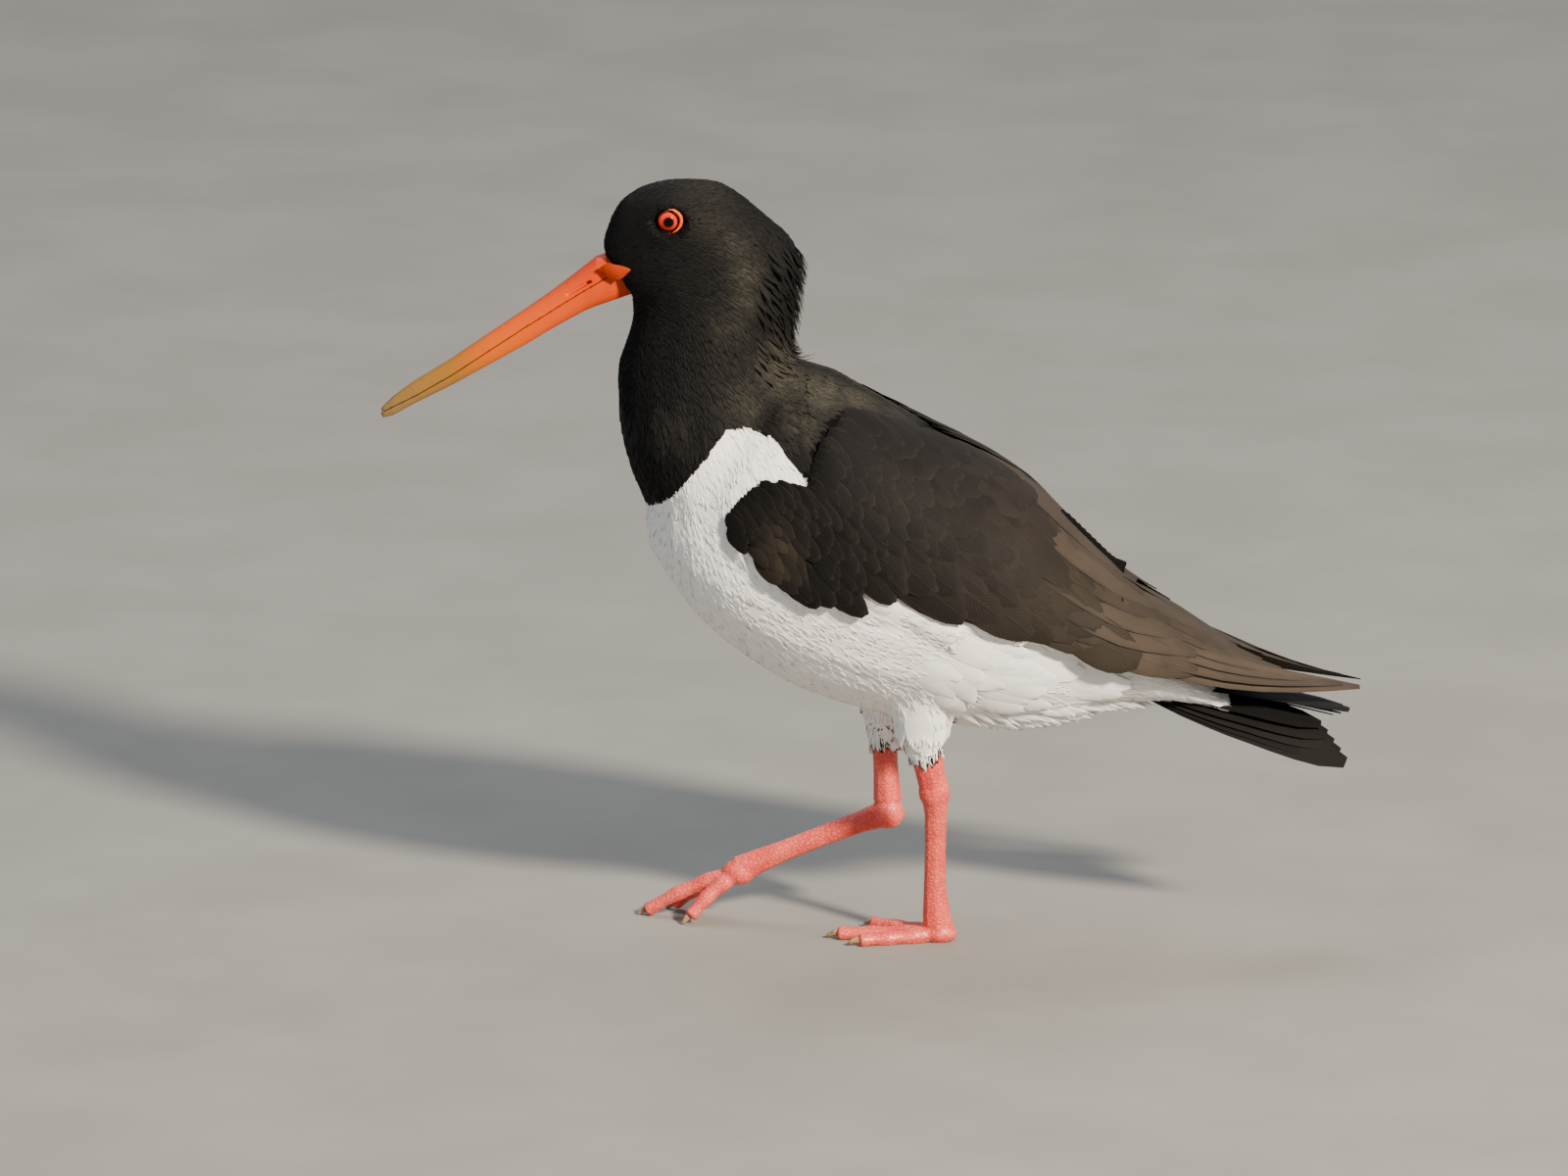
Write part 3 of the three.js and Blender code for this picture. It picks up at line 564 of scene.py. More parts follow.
# The way the feathers lie: a place on the bird, and the direction from a feather's root to its tip.
LIE = [
    ((-90, 0, 251), (0.6, 0, 0.8)), ((-80, 0, 268), (0.85, 0, 0.5)), ((-64, 0, 277), (1, 0, 0)),
    ((-44, 0, 270), (0.75, 0, -0.65)), ((-30, 0, 250), (0.25, 0, -1)), ((-28, 0, 225), (0.15, 0, -1)),
    ((-86, 8, 244), (1, 0, 0.1)), ((-70, 18, 248), (1, 0, -0.25)), ((-70, 14, 272), (1, 0, 0.1)),
    ((-50, 18, 245), (0.8, 0, -0.6)), ((-92, 0, 232), (0.7, 0, -0.7)), ((-86, 0, 215), (0.15, 0, -1)),
    ((-56, 24, 215), (0.35, 0, -1)), ((-89, 0, 190), (-0.02, 0, -1)), ((-60, 34, 185), (0.25, 0, -1)),
    ((-22, 8, 205), (0.75, 0, -0.75)), ((-79, 0, 155), (0.25, 0, -1)), ((-60, 35, 150), (0.5, 0, -0.9)),
    ((-62, 0, 115), (0.7, 0, -0.8)), ((-35, 0, 91), (0.97, 0, -0.3)), ((-30, 44, 125), (0.85, 0, -0.5)),
    ((0, 0, 198), (1, 0, -0.4)), ((20, 0, 78), (1, 0, 0)), ((10, 44, 110), (0.95, 0, -0.3)),
    ((60, 36, 100), (1, 0, -0.2)), ((90, 0, 82), (1, 0, 0.02)), ((135, 0, 79), (1, 0, -0.3)),
    ((19, 22, 82), (0.1, 0, -1)), ((8, 22, 80), (0.0, 0, -1)), ((110, 0, 106), (1, 0, -0.4)),
]


def lie_at(p):
    """The feathers' direction at points, blended from the places in LIE, on either side."""
    total = np.zeros_like(p)
    for place, way in LIE:
        mirrored = np.abs(p) * (0, 1, 0) + p * (1, 0, 1)
        gap = np.linalg.norm(mirrored - np.array(place, float), axis=1)
        total += (1 / (gap + 2.0) ** 3)[:, None] * np.array(way, float)
    return unit(total)


def nearest(points):
    """The nearest points of the skin and their normals, in the bird's own millimetres."""
    spots, normals = np.empty_like(points), np.empty_like(points)
    for i, p in enumerate(row(points)):
        spot, normal, _, _ = skin_tree.find_nearest(Vector(p))
        spots[i], normals[i] = spot, normal
    return own(spots), normals


def sample_skin(count, density):
    """Random points on the skin, more of them where density is high."""
    co = np.empty(len(skin_mesh.vertices) * 3, np.float32)
    skin_mesh.vertices.foreach_get("co", co)
    co = own(co.reshape(-1, 3))
    skin_mesh.calc_loop_triangles()
    tri = np.empty(len(skin_mesh.loop_triangles) * 3, np.int32)
    skin_mesh.loop_triangles.foreach_get("vertices", tri)
    a, b, c = (co[tri.reshape(-1, 3)[:, k]] for k in range(3))
    area = np.linalg.norm(np.cross(b - a, c - a), axis=1) / 2
    weight = area * density((a + b + c) / 3)
    pick = rng.choice(len(area), count, p=weight / weight.sum())
    s, t = np.sqrt(rng.random(count)), rng.random(count)
    return (1 - s)[:, None] * a[pick] + (s * (1 - t))[:, None] * b[pick] + (s * t)[:, None] * c[pick]


def root_cells(p, size=0.003):
    """Each root's place on an unwrap of the body: around the head above, and around the trunk below."""
    around_head = (np.arctan2(p[:, 1], p[:, 0] + 56) / (2 * np.pi) + 0.5) * 0.98 + 0.01
    up_head = 0.72 + 0.26 * (p[:, 2] - 200) / 80
    _, middle, _, _ = at(TORSO_FINE, p[:, 0])
    around = 0.01 + 0.68 * (np.arctan2(p[:, 1], p[:, 2] - middle) / (2 * np.pi) + 0.5)
    on_head = p[:, 2] > 205
    u = np.where(on_head, around_head, 0.02 + 0.94 * (p[:, 0] + 92) / 240)
    v = np.where(on_head, up_head, around)
    return np.column_stack([u, v, np.full(len(p), size), np.full(len(p), size)]).clip(0, 1)


def sheet_cells(count):
    """One cell for each large vane, side by side."""
    n = math.ceil(math.sqrt(count))
    i = np.arange(count)
    size = 0.94 / n
    return np.column_stack([(i % n + 0.5) / n, (i // n + 0.5) / n, np.full(count, size), np.full(count, size)])


def lay_feathers(roots, length, rows, lift):
    """Paths that start at roots and follow the skin the way the feathers lie, with their normals and sides."""
    count = len(roots)
    spot, normal = nearest(roots)
    path, normals, sides = (np.empty((count, rows, 3)) for _ in range(3))
    turn = rng.normal(0, 0.13, count)
    rise = rng.uniform(0.75, 1.25, count)
    for r in range(rows):
        t = r / (rows - 1)
        way = lie_at(spot)
        way = unit(way - normal * np.sum(way * normal, 1, keepdims=True))
        side = np.cross(normal, way)
        way = way * np.cos(turn)[:, None] + side * np.sin(turn)[:, None]
        side = np.cross(way, normal)
        height = (lift * rise * t**1.2 - 0.25 * (1 - t))[:, None]
        path[:, r], normals[:, r], sides[:, r] = spot + normal * height, normal, side
        if r < rows - 1:
            spot, normal = nearest(spot + way * (length / (rows - 1))[:, None])
    return path, normals, sides


# The profile of a vane's width from root to tip
ROUND = np.array([0.55, 0.85, 0.98, 1.0, 0.98, 0.9, 0.7, 0.3])
LONG = np.array([0.6, 0.8, 0.92, 0.98, 1.0, 0.98, 0.9, 0.74, 0.52, 0.2])
BLADE = np.array([0.35, 0.6, 0.8, 0.92, 1.0, 1.0, 1.0, 0.95, 0.8, 0.35])
PLUME = np.array([0.45, 0.95, 1.0, 0.78, 0.12])
SLIM = np.array([0.5, 1.0, 0.8, 0.06])

# The folded wing's lower border, and the front of its upper border, as seen in the picture.
WING_LOW_SEEN = [(741, 545), (749, 571), (774, 574), (793, 603), (831, 625), (867, 631), (889, 636), (891, 624),
                 (937, 624), (952, 618), (975, 633), (984, 644), (994, 637), (1031, 646), (1045, 665), (1060, 656)]
WING_HIGH_SEEN = [(758, 500), (770, 487), (785, 482), (800, 487)]
WING_OUT = 1.5  # how far the borders' feathers stand off the wing


def border_on_wing(spots):
    """A border of the wing seen in the picture, as x and angle about the widest line."""
    return [(x, a) for x, a, _ in placed(lambda x, a: on_wing(LEFT, x, a, WING_OUT, WING_ROOF, TORSO), spots)]


# The wing's lower border, and the upper border of what it covers, on the bird: x, angle about the widest line.
WING_LOW = np.array([(-52, 12), *border_on_wing(WING_LOW_SEEN), (68, -4), (84, 0), (101, 4), (112, 6)])
WING_HIGH = np.array([
    (-52, 14), (-49, 17), *border_on_wing(WING_HIGH_SEEN), (-22, 27), (-17, 45), (-8, 66), (10, 80), (24, 86),
    (112, 90),
])


def under_wing(p, margin=0.0):
    """Whether the folded wing covers these points of the body."""
    top, middle, half = at(ROOF_FINE, p[:, 0])
    bottom = at(TORSO_FINE, p[:, 0])[2]
    above = p[:, 2] - middle
    rise = above / np.where(above > 0, top - middle, np.maximum(middle - bottom, 12))
    angle = np.degrees(np.arctan2(rise, np.abs(p[:, 1]) / half))
    low, high = at(WING_LOW, p[:, 0])[0], at(WING_HIGH, p[:, 0])[0]
    inside = (p[:, 0] > WING_LOW[0, 0]) & (p[:, 0] < WING_LOW[-1, 0])
    return inside & (angle > low + margin) & ((angle < high - margin) | (p[:, 0] > 22))


# Where a paler, olive painted sheen lies on the black plumage of the head, neck and mantle: a place on either side,
# how far it reaches, and how much.
SHEEN_SPOTS = [
    ((-54, 16, 262), 7, 0.4), ((-46, 18, 254), 7, 0.6), ((-42, 18, 244), 7, 0.75), ((-42, 20, 236), 7, 0.65),
    ((-48, 24, 226), 8, 0.5), ((-49, 30, 216), 8, 0.4), ((-43, 33, 206), 9, 0.45), ((-43, 26, 200), 9, 0.5),
    ((-30, 15, 206), 11, 0.9), ((-16, 16, 203), 11, 0.95), ((-3, 13, 198), 10, 0.8), ((10, 8, 193), 9, 0.5),
    ((-24, 30, 195), 9, 0.55), ((-58, 8, 273), 10, 0.3), ((-80, 20, 225), 8, 0.25), ((-70, 33, 190), 9, 0.25),
]


def painted_sheen_at(p):
    """How much painted sheen the plumage has at these points, from 0 to 1."""
    share = np.zeros(len(p))
    for place, reach, much in SHEEN_SPOTS:
        gap = np.linalg.norm(p * (1, 0, 1) + np.abs(p) * (0, 1, 0) - place, axis=1)
        share = np.maximum(share, much * np.exp(-(gap / reach) ** 2))
    return share


# The bare corner of the gape, a wedge that runs back over the face: x, z and half its height.
GAPE = np.array([[-94, 243.4, 0.3], [-92.5, 243.3, 2.0], [-91, 243, 3.1], [-88.5, 242.4, 3.2], [-86.5, 243, 2.4],
                 [-84.8, 243.6, 1.3], [-83.1, 243.9, 0.2]])


def in_gape(p):
    """Whether points lie on the bare corner of the gape, apart from its border."""
    middle, half = (np.interp(p[:, 0], GAPE[:, 0], GAPE[:, k]) for k in (1, 2))
    return (p[:, 0] > GAPE[0, 0]) & (p[:, 0] < GAPE[-1, 0]) & (np.abs(p[:, 2] - middle) < half - 0.6)


def head_density(p):
    """Feathers stand closer together towards the bill."""
    face = np.interp(np.linalg.norm(p - np.array([-88, 0, 244.0]), axis=1), [10, 45], [2.6, 1.0])
    return np.where(p[:, 2] > 200, face, np.interp(p[:, 2], [185, 200], [0, 1]))


def trunk_density(p):
    return np.interp(p[:, 2], [188, 203], [1, 0]) + 1.6 * on_thigh(p)


def nape_density(p):
    return smoothstep(p[:, 0], -42, -34) * smoothstep(p[:, 2], 208, 216) * smoothstep(255 - p[:, 2], 0, 6) + TINY


def belly_density(p):
    behind = smoothstep(p[:, 0], 18, 34) * smoothstep(92 - p[:, 0], 0, 14)
    return behind * smoothstep(91 - p[:, 2], 0, 8) + TINY


def flank_density(p):
    along = smoothstep(p[:, 0], 2, 20) * smoothstep(98 - p[:, 0], 0, 20)
    outside = along * smoothstep(np.abs(p[:, 1]), 18, 30)
    return outside * smoothstep(126 - p[:, 2], 0, 8) * smoothstep(p[:, 2], 93, 100) + TINY


# The coat's batches: name, feathers to lay, where they stand, their least and greatest lengths and half widths,
# how far their tips stand off, and their profile.
BATCHES = [
    ("head", 25000, head_density, (2.6, 7.0), (0.45, 0.95), 0.55, SLIM),
    ("trunk", 23000, trunk_density, (8.5, 12.0), (1.2, 1.9), 0.8, PLUME),
    ("nape", 420, nape_density, (6.0, 8.5), (0.5, 0.8), 3.3, SLIM),
    ("belly", 620, belly_density, (10.0, 14.0), (0.8, 1.4), 2.0, PLUME),
    ("flank", 190, flank_density, (17.0, 24.0), (3.4, 4.8), 2.0, ROUND),
]
PIECE_VANES = 5500  # the most vanes in one piece of the coat


def lay_batch(label, roots, lengths, halves, lift, rows):
    """Paths, normals, sides and half widths, smaller towards the bill and the eye and on the thighs."""
    count = len(roots)
    near_bill = np.linalg.norm(roots - BILL_BASE, axis=1)
    small = np.interp(near_bill, [6, 60], [0, 1]) if label == "head" else np.ones(count)
    small = np.minimum(small, np.interp(ring_distance(roots), [5, 14], [0.05, 1]))
    leg = 1 - 0.52 * on_thigh(roots)
    length = (lengths[0] + (lengths[1] - lengths[0]) * small) * rng.uniform(0.85, 1.2, count) * leg
    half = (halves[0] + (halves[1] - halves[0]) * small) * rng.uniform(0.85, 1.15, count) * leg
    lift_here = lift * np.interp(small, [0, 1], [0.45, 1]) * leg * (1 - 0.5 * on_back(roots) * (label != "nape"))
    path, normals, sides = lay_feathers(roots, length, rows, lift_here)
    t = np.linspace(0, 1, rows)[None, :, None]

    # The feathers at a thigh's end hang straight past it.
    hanging = on_thigh(roots) > 0.4
    ahead = unit(path[hanging, 1] - path[hanging, 0])
    normals[hanging] = normals[hanging, :1]
    sides[hanging] = sides[hanging, :1]
    path[hanging] = path[hanging, :1] + (ahead * length[hanging, None])[:, None] * t + normals[hanging] * 0.2 * t

    # The longer ones of the belly droop and catch the light from the side.
    if label == "belly":
        path = path - t**2 * (0, 0, 1.5)
        normals = unit(normals + np.sign(path[:, :, 1:2]) * (0, 0.9, 0))
        sides = np.cross(unit(np.gradient(path, axis=1)), normals)
    return path, normals, sides, half


def misplaced(label, roots, path, normals, dark):
    """Whether a feather would cross the eye, the gape or a wing, or stand where none like it grows."""
    rows = path.shape[1]
    wrong = (ring_distance(path.reshape(-1, 3)) < 5.2).reshape(len(roots), -1).any(1)
    for r in (rows // 2, rows - 1):
        wrong |= under_wing(path[:, r], 5.0)
        wrong |= in_gape(path[:, r])
    behind = roots[:, 0] > 60
    wrong |= behind & (np.sum(normals[:, 0] * normals[:, -1], 1) < 0.5)
    wrong |= behind & under_wing(roots, -4.0)
    for r in range(1, rows):
        wrong |= (path[:, r, 0] > 58) & under_wing(path[:, r], -1.5)
    between_legs = (normals[:, 0, 2] < -0.7) & (roots[:, 2] < 76)
    wrong |= between_legs | (dark & (roots[:, 0] > 24))
    if label == "flank":
        wrong |= path[:, -1, 0] > 96
    return wrong


def body_feathers(quick):
    """The coat of body feathers, in pieces of one colour each."""
    # On the black coat the olive colour 3e3b31 is a painted sheen.
    black = feather_material(
        "black_contour_feathers_of_keratin", base="070606", tip="0c0b0a", edge="12100e", dust_and_sheen_colour="3e3b31", barbs=5.0,
        relief=0.25, specular=0.13, sheen=0.03, grain=0.1, tone_range=(0.8, 1.2), white="f6f3ea")
    white = feather_material(
        "white_contour_feathers_of_keratin", base="f3efe6", tip="fbf9f3", edge="fcfaf6", dust_and_sheen_colour="e9e2d4", barbs=6.0,
        relief=0.1, specular=0.2, sheen=0.05, grain=0.015, tone_range=(0.97, 1.02), black="0b0a09")
    share = 0.3 if quick else 1.0
    for label, count, density, lengths, halves, lift, profile in BATCHES:
        roots = sample_skin(int(count * share), density)
        roots = roots[~under_wing(roots, 3.0) & (ring_distance(roots) > 5.4)]
        path, normals, sides, half = lay_batch(label, roots, lengths, halves, lift, len(profile))
        seen = path[:, -2]
        border = rng.normal(0, 0.45, len(roots))
        dark = hood(seen) + border > 0
        wrong = misplaced(label, roots, path, normals, dark)
        tone = rng.random(len(roots))
        # A painted olive sheen on the black feathers, from the sheen spots. The white ones get a faint random tone
        # instead.
        dust_and_sheen = painted_sheen_at(seen) * rng.uniform(0.6, 1.15, len(roots))
        dust_and_sheen[~dark] = 0.25 * rng.random((~dark).sum())
        for is_dark, made, word, round_off in ((True, black, "black", 0.3), (False, white, "white", 0.16)):
            chosen = np.flatnonzero((dark == is_dark) & ~wrong)
            for k, part in enumerate(np.array_split(chosen, math.ceil(len(chosen) / PIECE_VANES) or 1)):
                if not len(part):
                    continue
                vanes(f"{word}_{label}_feathers_{k + 1}", path[part], normals[part], sides[part], half[part],
                      profile, half[part] * 0.08, half[part] * 0.14, made, tone[part],
                      root_cells(roots[part]), dust_and_sheen[part], 0.35, round_off, border[part])


body_feathers(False)

# Wings, tail and the long feathers over them


def wing_path(side, root, tip, rows, lift, bend):
    """A vane's middle line over the folded wing, its normals and its side vectors."""
    t = np.linspace(0, 1, rows)
    x = root[0] + (tip[0] - root[0]) * t
    angle = root[1] + (tip[1] - root[1]) * t + bend * np.sin(np.pi * t)
    out = lift[0] + (lift[1] - lift[0]) * np.sqrt(t)
    line = on_wing(side, x, angle, out).T
    above = on_wing(side, x, angle + 2, out).T
    run = unit(np.gradient(line, axis=0))
    normal = unit(np.cross(run, (above - line) * side))
    outward = line - np.column_stack([x, np.zeros(rows), at(ROOF_FINE, x)[1]])
    normal *= np.sign(np.sum(normal * outward, 1, keepdims=True))
    return line, normal, np.cross(run, normal)


# The long feathers of one wing, lowest first. Roots and tips are [x, angle] at the first and last feather.
TIERS = [
    dict(name="primaries", count=7, root=((70, 4), (84, 70)), tip=((173.6, 30), (132, 84)), half=(6.4, 7.4),
         lift=((-2.0, 0.2), (-2.0, 1.5)), bend=0),
    dict(name="secondaries", count=9, root=((-2, 12), (72, 16)), tip=((34, -3), (116, 7)), half=(6.6, 7.4),
         lift=((-1.6, 0.6), (-1.6, 1.1)), bend=0),
    dict(name="tertials", count=6, root=((38, 30), (34, 82)), tip=((116, 30), (94, 87)), half=(7.8, 8.6),
         lift=((-1.5, 1.5), (-1.5, 2.2)), bend=-3),
]
ARC = 0.93  # millimetres over the wing for each degree
LONG_SWELL = 0.3  # half the thickness of a wing or tail vane, along its shaft


def on_folded_wing(x, angle, half):
    """Whether a feather of this half width that grows here stays behind the wing's front borders."""
    return x > -50 and at(WING_LOW, x)[0] - 4 < angle < at(WING_HIGH, x)[0] - 0.6 * half / ARC


def strewn_coverts():
    """Roots, tips, half widths and lifts of the coverts and scapulars, in overlapping rows, larger to the rear."""
    roots, tips, halves, lifts = [], [], [], []
    x, column = -47.5, 0
    while x < 84:
        grow = float(smoothstep(x, -50, 70))
        low, high = at(WING_LOW, x)[0], min(at(WING_HIGH, x)[0], 86)
        half = 2.5 + 4.0 * grow
        angle = low + half * 0.62 / ARC + (column % 2) * 0.5 * half / ARC
        while angle < high:
            big = 1 + 0.3 * float(smoothstep(low + 14 - angle, 0, 10) * smoothstep(x, -34, -8))
            length = (9 + 14.5 * grow) * big * rng.uniform(0.88, 1.14)
            slope = math.radians(np.interp(x, [-50, 0, 80], [40, 31, 17]) * np.interp(angle, [30, 80], [1, 0.2]))
            tip = np.array([x + rng.normal(0, 0.14) * length, angle + rng.normal(0, 0.16) * half])
            reach = np.array([length * math.cos(slope), -length * math.sin(slope) / ARC])
            fit = 1.0
            while fit > 0.4 and not on_folded_wing(*(tip - fit * reach), half):
                fit *= 0.85
            angle += 1.1 * half * big / ARC
            if fit <= 0.4:
                continue
            tips.append(tip)
            roots.append(tip - fit * reach)
            halves.append(half * big * rng.uniform(0.9, 1.12) * (0.5 + 0.5 * fit))
            lift = np.interp(tip[1], [0, 30, 60, 86], [1.3, 1.6, 1.6, 1.2]) + rng.normal(0, 0.1)
            lifts.append((-1.0, -1.0 + (lift + 1.0) * fit**0.7))
        x += 0.27 * (9 + 14.5 * grow)
        column += 1
    return np.array(roots), np.array(tips), np.array(halves), np.array(lifts)


def brown_share(side, tips):
    """How brown and bleached a wing feather is: more to the rear, in a worn patch at the wrist and a bleached one,
    and paler with painted sheen where the sheen spots of the mantle reach the wing.
    """
    x, angle = tips[:, 0], tips[:, 1]
    share = 0.85 * smoothstep(x, 25, 125) + 0.12 * smoothstep(x, -20, 30)
    patch = 0.55 * np.exp(-((x + 29) / 7) ** 2 - ((angle - 2) / 9) ** 2)
    bleached = np.exp(-((x - 80) / 7) ** 2 - ((angle - 62) / 6) ** 2)
    # Painted sheen, where the sheen spots of the mantle reach the wing.
    worn = painted_sheen_at(on_wing(side, x, angle, 0 * x).T)
    share = share * rng.uniform(0.82, 1.12, len(x)) + worn * rng.uniform(0.5, 1.2, len(x))
    return np.clip(share + patch + 0.8 * bleached, 0, 1)


def lay_on_wing(name, side, made, profile, bend, roots, tips, halves, lifts):
    """Vanes over one folded wing, from roots and tips as [x, angle], half widths and lifts."""
    lines = [wing_path(side, *ends, len(profile), lift, bend) for *ends, lift in zip(roots, tips, lifts)]
    path, normal, across = (np.array([line[k] for line in lines]) for k in range(3))
    count = len(lines)
    return vanes(name, path, normal, across, halves, profile, np.full(count, LONG_SWELL), halves * 0.05, made,
                 rng.random(count), sheet_cells(count), brown_share(side, tips), 0.2, 0.22)


def build_wings():
    """Three tiers of long feathers on each wing, with rows of coverts and scapulars over their roots."""
    # On the wings the dusty browns are wear, and where the sheen spots reach the wing they carry a painted sheen
    # too.
    covert = feather_material(
        "black_brown_wing_coverts_of_keratin", base="070605", tip="0c0a09", edge="251f19", dust_and_sheen_colour="383026",
        barbs=22.0, relief=0.3, specular=0.14, sheen=0.02, grain=0.1, tone_range=(0.82, 1.18))
    flight = feather_material(
        "brown_flight_feathers_of_keratin", base="0d0b09", tip="14110e", edge="2c251e", dust_and_sheen_colour="3f352a", barbs=60.0,
        relief=0.4, specular=0.18, sheen=0.02, grain=0.12, tone_range=(0.82, 1.2))
    for side, word in SIDES:
        pieces = []
        for tier in TIERS:
            share = np.linspace(0, 1, tier["count"])[:, None]
            ends = {}
            for key, spread in (("root", 0.7), ("tip", 0.7), ("lift", 0.1)):
                first, last = np.array(tier[key], float)
                ends[key] = first * (1 - share) + last * share + rng.normal(0, spread, (len(share), 2))
            halves = np.interp(share[:, 0], [0, 1], tier["half"]) * rng.uniform(0.95, 1.05, len(share))
            pieces.append(lay_on_wing(f"{tier['name']}_{word}", side, flight, LONG, tier["bend"], ends["root"],
                                      ends["tip"], halves, ends["lift"]))
        lay_on_wing(f"coverts_and_scapulars_{word}", side, covert, ROUND, 0, *strewn_coverts())
        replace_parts(pieces[0], f"wing_{word}")


build_wings()

TAIL = {
    LEFT: dict(middle=(170, 3, 83.5), first=(160, 8, 79.5), last=(168.5, 18.5, 68.5), lean=1.35, count=5),
    RIGHT: dict(middle=(168, 3, 83), first=(170, 7, 80.6), last=(165, 12, 78.6), lean=0.25, count=3),
}
TAIL_ROOT = (96, 3.5, 94.5)
TAIL_HALF = 8.2


def build_tail():
    """The tail, folded to a narrow fan whose near side hangs lower."""
    made = feather_material(
        "black_tail_feathers_of_keratin", base="070606", tip="0b0a09", edge="13100e", dust_and_sheen_colour="1b1714", barbs=60.0,
        relief=0.35, specular=0.13, sheen=0.02, grain=0.1, tone_range=(0.85, 1.15))
    t = np.linspace(0, 1, len(BLADE))[:, None]
    lines, halves = [], []
    for side, group in TAIL.items():
        tips = [group["middle"], *np.linspace(group["first"], group["last"], group["count"])]
        for i, tip in enumerate(tips):
            share = i / group["count"]
            root = (TAIL_ROOT + np.array([0, 3, -2]) * share) * (1, side, 1)
            tip = np.array(tip, float) * (1, side, 1)
            run = unit(tip - root)
            across = np.array([0, 1, side * -group["lean"] * share])
            across = unit(across - run * run.dot(across))
            up = np.cross(run, across)
            bowed = up * (1.2 * np.sin(np.pi * t) - 0.4 * i)
            lines.append((root + (tip - root) * t + bowed, up, np.cross(run, up)))
            halves.append(TAIL_HALF * (1 - 0.25 * share))
    path = np.array([line[0] for line in lines])
    normal, across = (np.array([np.tile(line[k], (len(t), 1)) for line in lines]) for k in (1, 2))
    count = len(lines)
    obj = vanes("tail_feathers", path, normal, across, np.array(halves), BLADE, np.full(count, LONG_SWELL),
                np.full(count, 0.4), made, rng.random(count), sheet_cells(count),
                rng.random(count) * 0.5, 0.05, 0.2)
    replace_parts(obj, "tail")


build_tail()

# Bill, eyes and legs

BILL_AXIS = BILL_BASE, (BILL_TIP, 0, 189.2)


def axis_share(put, start, end):
    """How far along an axis a point lies, from 0 at its start to 1 at its end."""
    a, b = row(start), row(end)
    run = b - a
    away = put("VectorMath", {0: put("NewGeometry"), 1: a.tolist()}, **MINUS)
    return put("VectorMath", {0: away, 1: (run / run.dot(run)).tolist()}, "Value", operation="DOT_PRODUCT")


def bill_material(name, stops):
    """Keratin, grown over bone in lines along the bill. It has a satin gleam, and is worn brown at its tip."""
    made, put = material(name, 0.42, 0.22)
    where = put("TexCoord", output="Object")
    place = axis_share(put, *BILL_AXIS)
    cloud = put("Math", {0: put("TexNoise", patches(where, 11.1)), 1: 0.5}, **MINUS)
    wander = put("Math", {0: cloud, 1: 0.12}, **TIMES)
    shade = put("ValToRGB", {0: put("Math", {0: place, 1: wander}, **PLUS)}, stops=stops)
    stains = put("MapRange", between(put("TexNoise", patches(where, 2.38)), 0.56, 0.7), **SMOOTH)
    worn = put("MapRange", between(place, 0.45, 0.95), **SMOOTH)
    specks = put("Math", {0: put("Math", {0: stains, 1: worn}, **TIMES), 1: 0.7}, **TIMES)
    shade = put("Mix", {0: specks, 6: shade, 7: colour("6e5a42")}, **MIXED)
    lengthwise = put("Mapping", {"Vector": where, "Rotation": (0, math.radians(-31), 0), "Scale": (0.12, 1, 1)})
    lines = put("TexNoise", {"Vector": lengthwise, "Scale": 1000 / 1.11})
    return surfaced(made, put, shade, lines, 0.25, 0.3)


# The bill's colours, from its base to its tip.
BILL_STOPS = {
    "bill_upper": [(0.0, "cc3800"), (0.2, "d64800"), (0.5, "cc5600"), (0.68, "96641c"), (1.0, "7a6238")],
    "bill_lower": [(0.0, "c83c00"), (0.2, "d24a00"), (0.5, "c65800"), (0.68, "8e6024"), (1.0, "7a623a")],
}
GAPE_STATIONS = 12
GAPE_STANDS = (-0.3, 0.35)  # how far the bare corner stands out of the face, at its front end and from there on


def build_bill():
    """The two halves of the bill, and the bare corner of the gape on either side."""
    for node, stops in BILL_STOPS.items():
        made = bill_material(f"orange_keratin_of_{node}", stops)
        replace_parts(new_object(f"horn_of_{node}", own_mesh([node], 0.32, 2), made), node)
    for side, word in SIDES:
        x = np.linspace(GAPE[0, 0], GAPE[-1, 0], GAPE_STATIONS)
        middle, half = (np.interp(x, GAPE[:, 0], GAPE[:, k]) for k in (1, 2))
        spot, normal = nearest(np.column_stack([x, np.full(GAPE_STATIONS, side * 14.0), middle]))
        line = np.column_stack([x, spot[:, 1] + side * np.interp(x, [x[0], x[4]], GAPE_STANDS), middle])
        across = np.cross(unit(np.gradient(line, axis=0)), normal)
        one = np.ones(1)
        vanes(f"gape_flange_{word}", line[None], normal[None], across[None], one, half, one * 0.3, one * 0.5, made,
              one, sheet_cells(1), one, 0.0, 0.3)


build_bill()


def sphere(name, centre, radius, scale, segments=64):
    """A ball with its poles above and below, made narrower along each axis by scale."""
    mesh = bpy.data.meshes.new(name)
    bm = bmesh.new()
    bmesh.ops.create_uvsphere(bm, u_segments=segments, v_segments=segments // 2, radius=radius * MM)
    for v in bm.verts:
        v.co = Vector(row(centre)) + Vector([c * s for c, s in zip(v.co, scale)])
    bm.to_mesh(mesh)
    bm.free()
    return mesh


# The eye's colours, from the pupil's middle outwards, as shares of this many millimetres.
IRIS_REACH = 6.0
IRIS = [(0.0, "020202"), (0.28, "030202"), (0.31, "8c140a"), (0.4, "c82a14"), (0.55, "d43a1c"), (0.63, "961c0e"),
        (0.7, "140605")]


